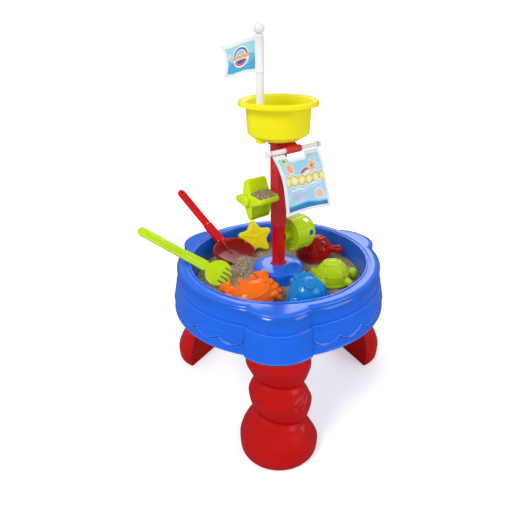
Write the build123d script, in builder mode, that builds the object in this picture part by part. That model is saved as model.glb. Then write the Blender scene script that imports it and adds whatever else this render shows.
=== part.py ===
from build123d import *
import math
import os

# A sand table for children: a round basin of sand on three legs, with a tower in the middle that
# carries a bowl, a flag, a sail, a scoop wheel and a drum wheel, and with toys lying in the sand.
# Millimetres. Built with the origin on the floor under the basin's axis, +Z up, front at -Y.
# PLACE then puts the origin on the floor under the middle of the whole table's box.

os.makedirs("parts", exist_ok=True)

PLACE = Location((18.48, 25.33, 0))
WALL = 3.0              # moulded wall of the basin and legs
THIN = 2.0              # moulded wall of the small toys and the scoops

# basin
RIM_H = 279.0           # rim ledge height
RIM_R = 180.7           # outer radius of the rim ledge
RIM_ROUND = 2.2         # rounding of the rim's outer edge
OPEN_R = 161.0          # inner opening radius
SKIRT_H = 196.0         # bottom of the skirt
SKIRT_R = 195.0         # radius at the bottom of the skirt
STEP_LOW_H = 246.2      # underside of the step line round the wall
STEP_H = 248.0          # height of the step line
FLOOR_H = 212.0         # top face of the well's floor
WELL_R = 151.0          # well radius at the floor
DOME_R = 47.5           # central dome
DOME_H = 267.0
LOBE_BACK = 120.0       # where the lobes end inside the basin, from the axis
SAND_H = 240.0

# legs
LEG_FLAT_R = 175.7      # distance of a leg's flat inner face from the axis
LEG_TOP = RIM_H - WALL
NECK_H = 193.0          # bottom of the neck inside the lobe
NECK_HALF_W = 41.0
NECK_DEPTH = 20.0

# tower
YAW = 41.0              # heading of the wheel axles, from +X
POST_LOW_W = 18.4
POST_UP_W = 22.0
POST_ROUND = 3.0        # corner radius of the posts
POST_JOIN_H = 343.0
POST_TOP_H = 496.0
SHOULDER_H = POST_TOP_H - 6    # top of the upper post's full section
DOME_TONGUE = 12.8      # square tongues, and how much wider their sockets are
JOINT_TONGUE = 14.0
HEAD_TONGUE = 15.0
TONGUE_FIT = 0.2
SCOOP_H = 405.5         # height of the scoop wheel's axle
DRUM_H = 317.0          # height of the drum's axle
DRUM_R = 32.0
AXLE_R = 4.0
PIN_SOCKET = 20.0       # depth of the cuts for the axle pins
RUN = 0.05              # running clearance, radial

# bowl, flag, sail
BOWL_H = 501.0          # underside of the bowl
OUTLET_D = 38.5         # outlet distance from the axis, on the scoop wheel's side
POLE_R = 6.25
POLE_TOP_H = 671.0      # centre of the ball
ROD_H = 488.0
ROD_S = 35.0            # distance of the sail's rod from the tower's axis
ROD_R = 3.0
CLIP_HALF = 16.0        # half length of the clip round the rod

# directions
RIGHT = Vector(1, 0, 0)
FRONT = Vector(0, -1, 0)
UP = Vector(0, 0, 1)
TO_DRUM = Vector(math.cos(math.radians(YAW)), math.sin(math.radians(YAW)), 0)
TO_SCOOPS = -TO_DRUM
TO_SAIL = Vector(TO_DRUM.Y, -TO_DRUM.X, 0)


# ---------------------------------------------------------------- helpers
def save(part, name):
    """Stand a finished piece in its file's frame and write it."""
    part.label = name
    part.locate(PLACE)
    export_step(part, "parts/" + name + ".step")


def at(along, sailward, height):
    """Point so far along the axle heading and so far towards the sail, at a height."""
    return TO_DRUM * along + TO_SAIL * sailward + UP * height


def pin_plane(along, height, heading):
    """Plane across an axle, facing along the heading."""
    return Plane(origin=at(along, 0, height), x_dir=UP, z_dir=heading)


def side_plane(along, sailward, height):
    """Plane facing the drum: x runs towards the sail, y runs down."""
    return Plane(origin=at(along, sailward, height), x_dir=TO_SAIL, z_dir=TO_DRUM)


def spoke(angle):
    """Unit vector across the axles, turned up from the sail's side by the angle in degrees."""
    turn = math.radians(angle)
    return TO_SAIL * math.cos(turn) + UP * math.sin(turn)


def spoke_plane(along, height, angle):
    """Plane across an axle with x along the spoke at this angle."""
    return Plane(origin=at(along, 0, height), x_dir=spoke(angle), z_dir=TO_DRUM)


# ---------------------------------------------------------------- basin
# Size of a lobe's plan: half width, distance of the flanks' ends and of the front from the axis.
LOBE_FOOT = (54, 191.5, 214)
LOBE_TOP = (49.5, 178.5, 202.0)
LOBE_BANDS = (              # height and size at the bottom and top of each band
    ((SKIRT_H, LOBE_FOOT), (STEP_LOW_H, (52, 185.5, 209.5))),
    ((STEP_LOW_H, (51.2, 183.5, 207.5)), (RIM_H, LOBE_TOP)),
)
LOBE_HOLLOW = ((SKIRT_H - 1, LOBE_FOOT), (RIM_H - WALL, LOBE_TOP))
LOBE_ANGLES = (0, 120, 240)     # from the front, anticlockwise from above

# Turned profiles: radius, height.
SKIN_PROFILE = (
    (0, SKIRT_H), (SKIRT_R, SKIRT_H), (189.5, STEP_LOW_H), (187.0, STEP_H + 0.6),
    (182.6, 274.0), (RIM_R - RIM_ROUND, RIM_H), (0, RIM_H), (0, SKIRT_H),
)
UNDERSIDE_PROFILE = (
    (0, SKIRT_H - 1), (SKIRT_R - WALL, SKIRT_H - 1), (189.5 - WALL, 245.5),
    (187.0 - WALL, STEP_H), (182.0 - WALL, RIM_H - WALL), (0, RIM_H - WALL), (0, SKIRT_H - 1),
)
WELL_PROFILE = (
    (0, FLOOR_H - WALL), (WELL_R + WALL, FLOOR_H - WALL), (OPEN_R + WALL, RIM_H - 1.5),
    (0, RIM_H - 1.5), (0, FLOOR_H - WALL),
)
DOME_HOLLOW_PROFILE = (
    (0, FLOOR_H - WALL - 1), (DOME_R - 0.5, FLOOR_H - WALL - 1), (DOME_R - 2.8, DOME_H - 5),
    (DOME_R - 5, DOME_H - WALL), (0, DOME_H - WALL), (0, FLOOR_H - WALL - 1),
)


def lobe_plane(height, angle):
    return Plane.XY.offset(height).rotated((0, 0, angle))


def lobe_outline(half_width, flank, reach, inset=0.0):
    """Plan of one lobe: straight flanks, bowed front."""
    half_width -= inset
    flank -= inset
    with BuildLine() as outline:
        Polyline((-half_width, -LOBE_BACK), (-half_width, -flank))
        ThreePointArc((-half_width, -flank), (0, -(reach - inset)), (half_width, -flank))
        Polyline((half_width, -flank), (half_width, -LOBE_BACK), (-half_width, -LOBE_BACK))
    return outline.edges()


with BuildPart() as basin:
    # skirt, step line and rim as one turned body
    with BuildSketch(Plane.XZ):
        with BuildLine():
            Polyline(*SKIN_PROFILE)
        make_face()
    revolve(axis=Axis.Z)
    # three lobes over the legs, in a lower and an upper band
    for angle in LOBE_ANGLES:
        for band in LOBE_BANDS:
            for height, size in band:
                with BuildSketch(lobe_plane(height, angle)):
                    make_face(lobe_outline(*size))
            loft()
    top_edges = basin.faces().sort_by(Axis.Z)[-1].outer_wire().edges()
    fillet(top_edges, radius=RIM_ROUND)
    # hollow underside
    with BuildSketch(Plane.XZ):
        with BuildLine():
            Polyline(*UNDERSIDE_PROFILE)
        make_face()
    revolve(axis=Axis.Z, mode=Mode.SUBTRACT)
    for angle in LOBE_ANGLES:
        for height, size in LOBE_HOLLOW:
            with BuildSketch(lobe_plane(height, angle)):
                make_face(lobe_outline(*size, inset=WALL))
        loft(mode=Mode.SUBTRACT)
    # a solid plug, cut to leave the well's wall and floor and the central dome
    with BuildSketch(Plane.XZ):
        with BuildLine():
            Polyline(*WELL_PROFILE)
        make_face()
    revolve(axis=Axis.Z)
    with BuildSketch(Plane.XZ):
        with BuildLine():
            Polyline((0, DOME_H), (DOME_R - 4, DOME_H))
            ThreePointArc((DOME_R - 4, DOME_H), (DOME_R - 1.0, DOME_H - 1.4),
                          (DOME_R + 0.2, DOME_H - 4.5))
            Polyline((DOME_R + 0.2, DOME_H - 4.5), (DOME_R + 2.5, FLOOR_H), (WELL_R, FLOOR_H),
                     (OPEN_R - 0.6, RIM_H - 2.4), (OPEN_R + 2.6, RIM_H - 2.4),
                     (OPEN_R + 3.2, RIM_H + 1), (0, RIM_H + 1), (0, DOME_H))
        make_face()
    revolve(axis=Axis.Z, mode=Mode.SUBTRACT)
    with BuildSketch(Plane.XZ):
        with BuildLine():
            Polyline(*DOME_HOLLOW_PROFILE)
        make_face()
    revolve(axis=Axis.Z, mode=Mode.SUBTRACT)
    # square socket through the dome for the post's tongue
    with BuildSketch(Plane.XY.offset(DOME_H - 6).rotated((0, 0, YAW))):
        Rectangle(DOME_TONGUE + TONGUE_FIT, DOME_TONGUE + TONGUE_FIT)
    extrude(amount=12, mode=Mode.SUBTRACT)
save(basin.part, "basin")


# ---------------------------------------------------------------- legs
# Sections of a leg: height, half width, depth, sideways shift, tilt of the section (deg).
LEG_SECTIONS = (
    (0.0, 61.5, 60.0, 0.5, 0.0),
    (6.0, 64.8, 64.0, 0.5, 1.0),
    (26.0, 66.5, 66.3, 0.5, 4.0),
    (50.0, 61.5, 59.0, 1.0, 9.0),
    (70.0, 52.0, 46.5, 1.5, 13.0),
    (79.5, 47.2, 41.0, 2.0, 14.0),
    (88.0, 50.2, 42.8, 2.5, 13.0),
    (112.0, 54.0, 46.0, 3.0, 11.0),
    (134.0, 46.8, 35.5, 1.5, 9.5),
    (143.5, 42.6, 30.5, 1.0, 9.0),
    (153.0, 46.2, 32.5, 0.5, 8.0),
    (178.0, 53.6, 37.5, 0.0, 3.0),
    (NECK_H, 51.5, 35.2, 0.0, 0.0),
)
LEG_HOLLOW = (      # the same columns, for the hollow
    (-1.0, 57.0, 53.0, 0.5, 0.0),
    (26.0, 61.0, 57.0, 0.5, 4.0),
    (79.0, 42.5, 33.0, 2.0, 14.0),
    (112.0, 46.0, 36.0, 2.0, 11.0),
    (143.0, 37.5, 23.0, 1.0, 9.0),
    (NECK_H, 43.5, 25.0, 0.0, 0.0),
)
NECK_HOLLOW_H = NECK_H - 0.5


def leg_plane(height, shift, tilt, angle, inset=0.0):
    """Plane of one leg section; its x axis lies in the leg's flat face, or inset outwards."""
    lean = math.radians(tilt)
    base = Plane(origin=(shift, -LEG_FLAT_R - inset, height),
                 x_dir=(math.cos(lean), 0, -math.sin(lean)),
                 z_dir=(math.sin(lean), 0, math.cos(lean)))
    return Plane(Location((0, 0, 0), (0, 0, angle)) * base.location)


def half_oval(half_width, depth):
    """Half ellipse with its flat edge on the x axis, bulging to -y."""
    with BuildLine() as outline:
        EllipticalCenterArc((0, 0), half_width, depth, start_angle=180, arc_size=180)
        Line((half_width, 0), (-half_width, 0))
    return outline.edges()


def build_leg(name, angle):
    with BuildPart() as leg:
        for height, half_width, depth, shift, tilt in LEG_SECTIONS:
            with BuildSketch(leg_plane(height, shift, tilt, angle)):
                make_face(half_oval(half_width, depth))
        loft()
        with BuildSketch(leg_plane(NECK_H, 0, 0, angle)):
            make_face(half_oval(NECK_HALF_W, NECK_DEPTH))
        extrude(amount=LEG_TOP - NECK_H)
        # hollow from below
        for height, half_width, depth, shift, tilt in LEG_HOLLOW:
            with BuildSketch(leg_plane(height, shift, tilt, angle, WALL)):
                make_face(half_oval(half_width, depth))
        loft(ruled=True, mode=Mode.SUBTRACT)
        with BuildSketch(leg_plane(NECK_HOLLOW_H, 0, 0, angle, WALL)):
            make_face(half_oval(NECK_HALF_W - WALL, NECK_DEPTH - 2 * WALL))
        extrude(amount=LEG_TOP - WALL - NECK_HOLLOW_H, mode=Mode.SUBTRACT)
        # level foot: nothing below the floor
        with BuildSketch(Plane.XY.offset(-12)):
            Rectangle(700, 700)
        extrude(amount=12, mode=Mode.SUBTRACT)
    save(leg.part, name)


for leg_name, angle in zip(("leg_front", "leg_rear_right", "leg_rear_left"), LOBE_ANGLES):
    build_leg(leg_name, angle)

# ---------------------------------------------------------------- posts
POST = Plane(origin=(0, 0, 0), x_dir=TO_DRUM, z_dir=UP)
DOME_TONGUE_LENGTH = 22
JOINT_TONGUE_LENGTH = 28
PIN_START_DRUM = -2.0       # inner end of the drum's pin, along the axle heading

with BuildPart() as lower_post:
    with BuildSketch(POST.offset(DOME_H)):
        RectangleRounded(POST_LOW_W, POST_LOW_W, POST_ROUND)
    extrude(amount=POST_JOIN_H - DOME_H)
    # collar on the dome
    with BuildSketch(POST.offset(DOME_H)):
        RectangleRounded(POST_LOW_W + 3.0, POST_LOW_W + 3.0, 4.0)
    extrude(amount=3.5)
    # tongue into the dome, tongue into the upper post
    with BuildSketch(POST.offset(DOME_H - DOME_TONGUE_LENGTH)):
        Rectangle(DOME_TONGUE, DOME_TONGUE)
    extrude(amount=DOME_TONGUE_LENGTH)
    with BuildSketch(POST.offset(POST_JOIN_H)):
        Rectangle(JOINT_TONGUE, JOINT_TONGUE)
    extrude(amount=JOINT_TONGUE_LENGTH)
    # socket for the drum's axle pin
    with BuildSketch(pin_plane(PIN_START_DRUM, DRUM_H, TO_DRUM)):
        Circle(AXLE_R)
    extrude(amount=PIN_SOCKET, mode=Mode.SUBTRACT)
save(lower_post.part, "lower_post")

with BuildPart() as upper_post:
    with BuildSketch(POST.offset(POST_JOIN_H)):
        RectangleRounded(POST_UP_W, POST_UP_W, POST_ROUND)
    extrude(amount=SHOULDER_H - POST_JOIN_H)
    fillet(upper_post.faces().sort_by(Axis.Z)[0].outer_wire().edges(), radius=1.5)
    # socket over the lower post's tongue
    with BuildSketch(POST.offset(POST_JOIN_H - 1)):
        Rectangle(JOINT_TONGUE + TONGUE_FIT, JOINT_TONGUE + TONGUE_FIT)
    extrude(amount=JOINT_TONGUE_LENGTH + 2.5, mode=Mode.SUBTRACT)
    # tongue into the post head
    with BuildSketch(POST.offset(SHOULDER_H)):
        Rectangle(HEAD_TONGUE, HEAD_TONGUE)
    extrude(amount=4)
    # socket for the scoop wheel's axle pin
    with BuildSketch(pin_plane(2.0, SCOOP_H, TO_SCOOPS)):
        Circle(AXLE_R)
    extrude(amount=PIN_SOCKET, mode=Mode.SUBTRACT)
save(upper_post.part, "upper_post")

# ---------------------------------------------------------------- post head
# Seat under the bowl, with the arm and clip that hold the sail's rod.
SEAT_DISC = 1.5             # thickness of the disc under the bowl
ARM_HALF = 10.0             # half width of the arm
ARM_PROFILE = (             # towards the sail, down
    (0, -3.4), (20, -3.4), (29.0, 2.0), (29.0, 8.6), (20, 8.6), (2.5, 6.4), (0, 6.4), (0, -3.4),
)

with BuildPart() as post_head:
    with BuildSketch(POST.offset(SHOULDER_H)):
        RectangleRounded(POST_UP_W + 3, POST_UP_W + 3, 3.0)
    with BuildSketch(POST.offset(BOWL_H - SEAT_DISC)):
        RectangleRounded(40, 34, 6.0)
    loft()
    with BuildSketch(POST.offset(BOWL_H - SEAT_DISC)):
        Circle(25)
    extrude(amount=SEAT_DISC)
    # arm out to the rod
    with BuildSketch(side_plane(-ARM_HALF, 8.0, 496.5)):
        with BuildLine():
            Polyline(*ARM_PROFILE)
        make_face()
    extrude(amount=2 * ARM_HALF)
    # clip round the rod
    with BuildSketch(side_plane(-CLIP_HALF, ROD_S, ROD_H)):
        Circle(ROD_R + 3.2)
    extrude(amount=2 * CLIP_HALF)
    with BuildSketch(side_plane(-CLIP_HALF - 1, ROD_S, ROD_H)):
        Circle(ROD_R + RUN)
    extrude(amount=2 * (CLIP_HALF + 1), mode=Mode.SUBTRACT)
    # socket over the post's square tongue
    with BuildSketch(POST.offset(SHOULDER_H - 1)):
        Rectangle(HEAD_TONGUE + TONGUE_FIT, HEAD_TONGUE + TONGUE_FIT)
    extrude(amount=5.2, mode=Mode.SUBTRACT)
save(post_head.part, "post_head")

# ---------------------------------------------------------------- bowl
OUTLET = at(-OUTLET_D, 0, 0)


def outlet_plane(height, x_dir=RIGHT):
    """Level plane centred over the outlet."""
    return Plane(origin=OUTLET + UP * height, x_dir=x_dir, z_dir=UP)


with BuildPart() as bowl:
    # bowl with a rolled rim: radius, height
    with BuildSketch(Plane.XZ):
        with BuildLine():
            Polyline((0, BOWL_H), (38, BOWL_H), (52.0, 510.5), (54.0, 553.5))
            ThreePointArc((54.0, 553.5), (55.0, 557.2), (57.8, 559.8))
            Polyline((57.8, 559.8), (61.5, 561.8), (63.6, 560.8), (65.2, 555.6), (66.9, 556.0),
                     (65.6, 562.2))
            ThreePointArc((65.6, 562.2), (64.6, 564.0), (62.6, 564.6))
            Polyline((62.6, 564.6), (61.0, 564.4), (57.0, 562.6))
            ThreePointArc((57.0, 562.6), (53.4, 559.8), (51.7, 554.6))
            Polyline((51.7, 554.6), (49.8, 512.2), (37.0, 503.4), (0, 503.4), (0, BOWL_H))
        make_face()
    revolve(axis=Axis.Z)
    # outlet spout
    with BuildSketch(outlet_plane(498.5, TO_DRUM)):
        Circle(8.6)
    extrude(amount=16.5)
    with BuildSketch(outlet_plane(498.0, TO_DRUM)):
        Circle(4.6)
    extrude(amount=12, mode=Mode.SUBTRACT)
    # seat for the flag pole's foot, above the outlet
    with BuildSketch(outlet_plane(508.0, TO_DRUM)):
        Circle(6.5)
    extrude(amount=8, mode=Mode.SUBTRACT)
save(bowl.part, "bowl")

# ---------------------------------------------------------------- flag pole
POLE_FOOT_H = 510.2
POLE_SHAFT_TOP_H = 663.5
POLE_PROFILE = (            # radius, height
    (0, POLE_FOOT_H), (5.6, POLE_FOOT_H), (6.2, 512.0), (6.2, 520.0), (7.4, 522.0),
    (7.4, 524.0), (6.9, 526.0), (POLE_R, 594.0), (POLE_R, POLE_SHAFT_TOP_H),
    (0, POLE_SHAFT_TOP_H), (0, POLE_FOOT_H),
)

with BuildPart() as flag_pole:
    with BuildSketch(Plane(origin=OUTLET, x_dir=RIGHT, z_dir=FRONT)):
        with BuildLine():
            Polyline(*POLE_PROFILE)
        make_face()
    revolve(axis=Axis(origin=OUTLET, direction=UP))
    with Locations(OUTLET + UP * POLE_TOP_H):
        Sphere(8.2)
save(flag_pole.part, "flag_pole")

# ---------------------------------------------------------------- flag
FLAG_LOW = 608.0
FLAG_HIGH = 661.0
FLAG_H = FLAG_HIGH - FLAG_LOW
FLAG_SHEET = 1.2            # front to back thickness of the sheet
FLAG_REACH = 20.0           # the side cut runs this far in front of and behind the pole
# The sheet's wave in plan, from the pole to the free end: right, back.
WAVE_FRONT = ((-6.6, -0.6), (-20, -4.4), (-36, 2.4), (-60, -3.4))
WAVE_BACK = [(x, y + FLAG_SHEET) for x, y in reversed(WAVE_FRONT)]

with BuildPart() as flag:
    # sleeve that turns on the pole
    with BuildSketch(outlet_plane(FLAG_LOW)):
        Circle(7.2)
    extrude(amount=FLAG_H)
    # waving sheet, drawn in plan and pulled up
    with BuildSketch(outlet_plane(FLAG_LOW - 10)):
        with BuildLine():
            Spline(*WAVE_FRONT, tangents=((-1, -0.1, 0), (-1, -0.5, 0)))
            Line(WAVE_FRONT[-1], WAVE_BACK[0])
            Spline(*WAVE_BACK, tangents=((1, 0.5, 0), (1, 0.1, 0)))
            Line(WAVE_BACK[-1], WAVE_FRONT[0])
        make_face()
    extrude(amount=FLAG_H + 10)
    # drooping edges and the hollow free end, seen from the front: right, height
    with BuildSketch(Plane(origin=OUTLET - FRONT * FLAG_REACH, x_dir=RIGHT, z_dir=FRONT)):
        with BuildLine():
            Polyline((9, FLAG_LOW), (9, FLAG_HIGH), (-7, FLAG_HIGH))
            Spline((-7, FLAG_HIGH), (-33, 652.2), (-44, 647.5), (-60, 646.0))
            ThreePointArc((-60, 646.0), (-52.5, 622.0), (-57, 600.0))
            Spline((-57, 600.0), (-41, 601.0), (-22, 606.5), (-7, FLAG_LOW))
            Line((-7, FLAG_LOW), (9, FLAG_LOW))
        make_face()
    extrude(amount=2 * FLAG_REACH, mode=Mode.INTERSECT)
    # bore for the pole
    with BuildSketch(outlet_plane(FLAG_LOW - 8)):
        Circle(POLE_R + RUN)
    extrude(amount=FLAG_H + 16, mode=Mode.SUBTRACT)
save(flag.part, "flag")

# ---------------------------------------------------------------- sail rod
# Lengths of the rod: start along the axle heading, radius, length.
ROD_STEPS = (
    (-52, ROD_R, 112),
    (-56.0, 5.0, 6),        # end knobs
    (57.0, 5.0, 6),
    (-17.6, 4.4, 1.2),      # collars on both sides of the clip
    (16.4, 4.4, 1.2),
)

with BuildPart() as sail_rod:
    for start, radius, length in ROD_STEPS:
        with BuildSketch(side_plane(start, ROD_S, ROD_H)):
            Circle(radius)
        extrude(amount=length)
save(sail_rod.part, "sail_rod")

# ---------------------------------------------------------------- sail
# Hang of the sheet: how far it stands out from the rod, and how far below it.
SAIL_CURVE = ((3.0, 3.0), (15.0, 19.0), (24.0, 38.0), (31.0, 62.0), (39.5, 98.0))
SAIL_OUTER = [(out + 1.15, down - 0.4) for out, down in reversed(SAIL_CURVE)]
SAIL_START = -46.0
SAIL_LENGTH = 100.0

with BuildPart() as sail:
    # billowing sheet: profile drawn across the rod, pulled along it
    with BuildSketch(side_plane(SAIL_START, ROD_S, ROD_H)):
        with BuildLine():
            Spline(*SAIL_CURVE, tangents=((0.8, 1, 0), (0.25, 1, 0)))
            Line(SAIL_CURVE[-1], SAIL_OUTER[0])
            Spline(*SAIL_OUTER, tangents=((-0.25, -1, 0), (-0.8, -1, 0)))
            Line(SAIL_OUTER[-1], SAIL_CURVE[0])
        make_face()
    extrude(amount=SAIL_LENGTH)
    # hem tube on the rod
    with BuildSketch(side_plane(SAIL_START, ROD_S, ROD_H)):
        Circle(ROD_R + 1.4)
    extrude(amount=SAIL_LENGTH)
    with BuildSketch(side_plane(-60, ROD_S, ROD_H)):
        Circle(ROD_R)
    extrude(amount=120, mode=Mode.SUBTRACT)
    # notch round the clip
    with BuildSketch(Plane(origin=at(0, ROD_S - 12, ROD_H), x_dir=TO_DRUM, z_dir=TO_SAIL)):
        Rectangle(2 * (CLIP_HALF + 2.4), 22.0)
    extrude(amount=30, mode=Mode.SUBTRACT)
save(sail.part, "sail")

# ---------------------------------------------------------------- axle pins
# Steps of a pin (shaft, shoulder, end cap): start along the axle heading, radius, length.
SCOOP_PIN_STEPS = ((-4.0, AXLE_R, 70.5), (-11.2, 8.5, 12.0), (-72.5, 6.5, 3.0))
DRUM_PIN_STEPS = ((PIN_START_DRUM, AXLE_R, 62), (9.4, 7.5, 10.6), (57.0, 7.0, 4.0))


def build_pin(name, height, heading, steps, cap_face, cap_round):
    """Stepped pin; cap_face picks its outer end among the faces sorted towards the drum."""
    with BuildPart() as pin:
        for start, radius, length in steps:
            with BuildSketch(pin_plane(start, height, heading)):
                Circle(radius)
            extrude(amount=length)
        axle = Axis(origin=(0, 0, height), direction=TO_DRUM)
        fillet(pin.faces().sort_by(axle)[cap_face].edges(), radius=cap_round)
    save(pin.part, name)


build_pin("bucket_axle_pin", SCOOP_H, TO_SCOOPS, SCOOP_PIN_STEPS, cap_face=0, cap_round=1.2)
build_pin("drum_axle_pin", DRUM_H, TO_DRUM, DRUM_PIN_STEPS, cap_face=-1, cap_round=1.5)

# ---------------------------------------------------------------- scoop wheel
WHEEL_START = -71.0              # outer end along the axle heading
WHEEL_LENGTH = 45.5
TOP_SCOOP = 90 + 12.0            # the top scoop leans back from upright, away from the sail
SCOOP_ANGLES = [TOP_SCOOP + 90 * k for k in range(4)]
# Cut inside a scoop: distance from the axle, across the scoop; the scoop opens to the minus side.
SCOOP_HOLLOW = (
    (10.5, -12), (10.8, 8.6), (19.0, 9.3), (31.8, 5.6), (33.2, 2.5), (31.9, -12), (10.5, -12),
)

with BuildPart() as bucket_wheel:
    with BuildSketch(spoke_plane(WHEEL_START, SCOOP_H, TOP_SCOOP)):
        Circle(9.5)
    extrude(amount=WHEEL_LENGTH)
    # four tapered cups
    for angle in SCOOP_ANGLES:
        with BuildSketch(spoke_plane(WHEEL_START, SCOOP_H, angle)):
            with BuildLine():
                Polyline((5.0, 12.5), (19.0, 11.5), (33.0, 7.5))
                ThreePointArc((33.0, 7.5), (35.2, 5.6), (35.4, 2.5))
                Polyline((35.4, 2.5), (34.0, -7.5), (20.0, -9.5), (5.0, -10.5), (5.0, 12.5))
            make_face()
        extrude(amount=WHEEL_LENGTH)
    for angle in SCOOP_ANGLES:
        with BuildSketch(spoke_plane(WHEEL_START + THIN, SCOOP_H, angle)):
            with BuildLine():
                Polyline(*SCOOP_HOLLOW)
            make_face()
        extrude(amount=WHEEL_LENGTH - 2 * THIN, mode=Mode.SUBTRACT)
    # bore for the pin
    with BuildSketch(spoke_plane(WHEEL_START - 1, SCOOP_H, TOP_SCOOP)):
        Circle(AXLE_R + RUN)
    extrude(amount=WHEEL_LENGTH + 2, mode=Mode.SUBTRACT)
save(bucket_wheel.part, "bucket_wheel")

# ---------------------------------------------------------------- drum wheel
DRUM_IN = 22.6                   # inner and outer end along the axle heading
DRUM_OUT = 71.0
BORE_R = AXLE_R + RUN
HOLES = 7
HOLE_PITCH = 360 / HOLES
FIRST_HOLE = 9                   # angle up from the sail's side

with BuildPart() as drum_wheel:
    # wall, hub and inner end disc turned about the axle: along the axle, radius
    with BuildSketch(Plane(origin=at(0, 0, DRUM_H), x_dir=TO_DRUM, z_dir=TO_SAIL)):
        with BuildLine():
            Polyline((DRUM_IN, DRUM_R - 4), (DRUM_IN, DRUM_R - 1.4))
            ThreePointArc((DRUM_IN, DRUM_R - 1.4), (DRUM_IN + 0.5, DRUM_R - 0.4),
                          (DRUM_IN + 1.6, DRUM_R))
            Polyline((DRUM_IN + 1.6, DRUM_R), (58.0, DRUM_R))
            ThreePointArc((58.0, DRUM_R), (66.5, DRUM_R - 2.6), (DRUM_OUT, DRUM_R - 8.0))
            Polyline((DRUM_OUT, DRUM_R - 8.0), (DRUM_OUT - 1.6, DRUM_R - 9.2))
            ThreePointArc((DRUM_OUT - 1.6, DRUM_R - 9.2), (65.3, DRUM_R - 4.4),
                          (57.8, DRUM_R - 2.0))
            Polyline((57.8, DRUM_R - 2.0), (DRUM_IN + 7.0, DRUM_R - 2.0), (DRUM_IN + 7.0, 9.0),
                     (56.5, 9.0), (56.5, BORE_R), (DRUM_IN - 1.2, BORE_R), (DRUM_IN - 1.2, 8.0),
                     (DRUM_IN + 5.0, 8.0), (DRUM_IN + 5.0, DRUM_R - 4), (DRUM_IN, DRUM_R - 4))
        make_face()
    revolve(axis=Axis(origin=at(0, 0, DRUM_H), direction=TO_DRUM))
    # round holes in the wall
    for k in range(HOLES):
        outward = spoke(FIRST_HOLE + k * HOLE_PITCH)
        hole_start = at(54.0, 0, DRUM_H) + outward * (DRUM_R - 8)
        with BuildSketch(Plane(origin=hole_start, x_dir=TO_DRUM, z_dir=outward)):
            Circle(5.2)
        extrude(amount=12, mode=Mode.SUBTRACT)
    # low ribs between the holes
    for k in range(HOLES):
        rib_angle = FIRST_HOLE + (k + 0.5) * HOLE_PITCH
        with BuildSketch(spoke_plane(DRUM_IN + 2.5, DRUM_H, rib_angle)):
            with Locations((DRUM_R - 0.3, 0)):
                Rectangle(1.6, 1.8)
        extrude(amount=34)
save(drum_wheel.part, "drum_wheel")

# ---------------------------------------------------------------- sand
SAND_PROFILE = (            # radius, height; stands just clear of the well
    (DOME_R + 2.9, FLOOR_H + 0.2), (WELL_R - 0.4, FLOOR_H + 0.2), (154.6, SAND_H),
    (DOME_R + 1.8, SAND_H), (DOME_R + 2.9, FLOOR_H + 0.2),
)

with BuildPart() as sand_fill:
    with BuildSketch(Plane.XZ):
        with BuildLine():
            Polyline(*SAND_PROFILE)
        make_face()
    revolve(axis=Axis.Z)
save(sand_fill.part, "sand_fill")

# ---------------------------------------------------------------- moulds
LYING_H = SAND_H + 1.4      # underside of the moulds that lie flat
CROWN_MID = 0.8             # size of the crown's middle and top sections against its base
CROWN_TOP = 0.42


def turned(origin, heading, tilt_dir=0.0, tilt=0.0):
    """Plane whose x runs at heading (deg), leaned by tilt (deg) towards tilt_dir (deg)."""
    lean = math.radians(tilt)
    towards = math.radians(tilt_dir)
    normal = Vector(math.sin(lean) * math.cos(towards), math.sin(lean) * math.sin(towards),
                    math.cos(lean))
    x_dir = Vector(math.cos(math.radians(heading)), math.sin(math.radians(heading)), 0)
    return Plane(origin=origin, x_dir=x_dir - normal * x_dir.dot(normal), z_dir=normal)


def dome_mould(name, plane, outline, low, high, crown_x, crown_y):
    """Open-bottomed mould: an outline up to low, an oval crown on it up to high."""
    with BuildPart() as mould:
        with BuildSketch(plane):
            outline(0.0)
        extrude(amount=low * 0.6)
        with BuildSketch(plane.offset(low * 0.6)):
            outline(-1.4)
        extrude(amount=low * 0.4)
        for height, scale in ((low - 0.5, 1), (low + (high - low) * 0.62, CROWN_MID),
                              (high, CROWN_TOP)):
            with BuildSketch(plane.offset(height)):
                Ellipse(crown_x * scale, crown_y * scale)
        loft()
        # hollow from below
        with BuildSketch(plane.offset(-0.01)):
            outline(-THIN - 1.0)
        extrude(amount=low - THIN, mode=Mode.SUBTRACT)
        with BuildSketch(plane.offset(low - THIN - 0.1)):
            Ellipse(crown_x - THIN - 1, crown_y - THIN - 1)
        with BuildSketch(plane.offset(high - THIN)):
            Ellipse(crown_x * CROWN_TOP - THIN, crown_y * CROWN_TOP - THIN)
        loft(mode=Mode.SUBTRACT)
    save(mould.part, name)


# Outlines: each draws in the caller's sketch, made larger all round by grow.
def crab_outline(grow):
    with Locations((0, -2)):
        Ellipse(42 + grow, 32 + grow)
    with Locations((-36, 22), (30, 26)):
        Circle(14 + grow)
    with Locations((-47, 4), (47, 2), (44, -14), (-42, -14)):
        Circle(8 + grow)


def fish_outline(grow):
    Ellipse(33 + grow, 31 + grow)
    with Locations((-30, -14), (28, 16)):
        Circle(8 + grow)
    with Locations((0, 27)):
        Ellipse(16 + grow, 7 + grow)


def turtle_outline(grow):
    Ellipse(32 + grow, 28 + grow)
    with Locations((36, 4)):
        Ellipse(11 + grow, 9 + grow)
    with Locations((-25, 24), (22, 26), (-25, -22), (22, -24)):
        Circle(9.5 + grow)


def seal_outline(grow):
    Ellipse(37 + grow, 34 + grow)
    with Locations((46, -12)):
        Circle(10 + grow)
    with Locations((37, -9)):
        Rectangle(14 + 2 * grow, 9 + 2 * grow)


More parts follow.
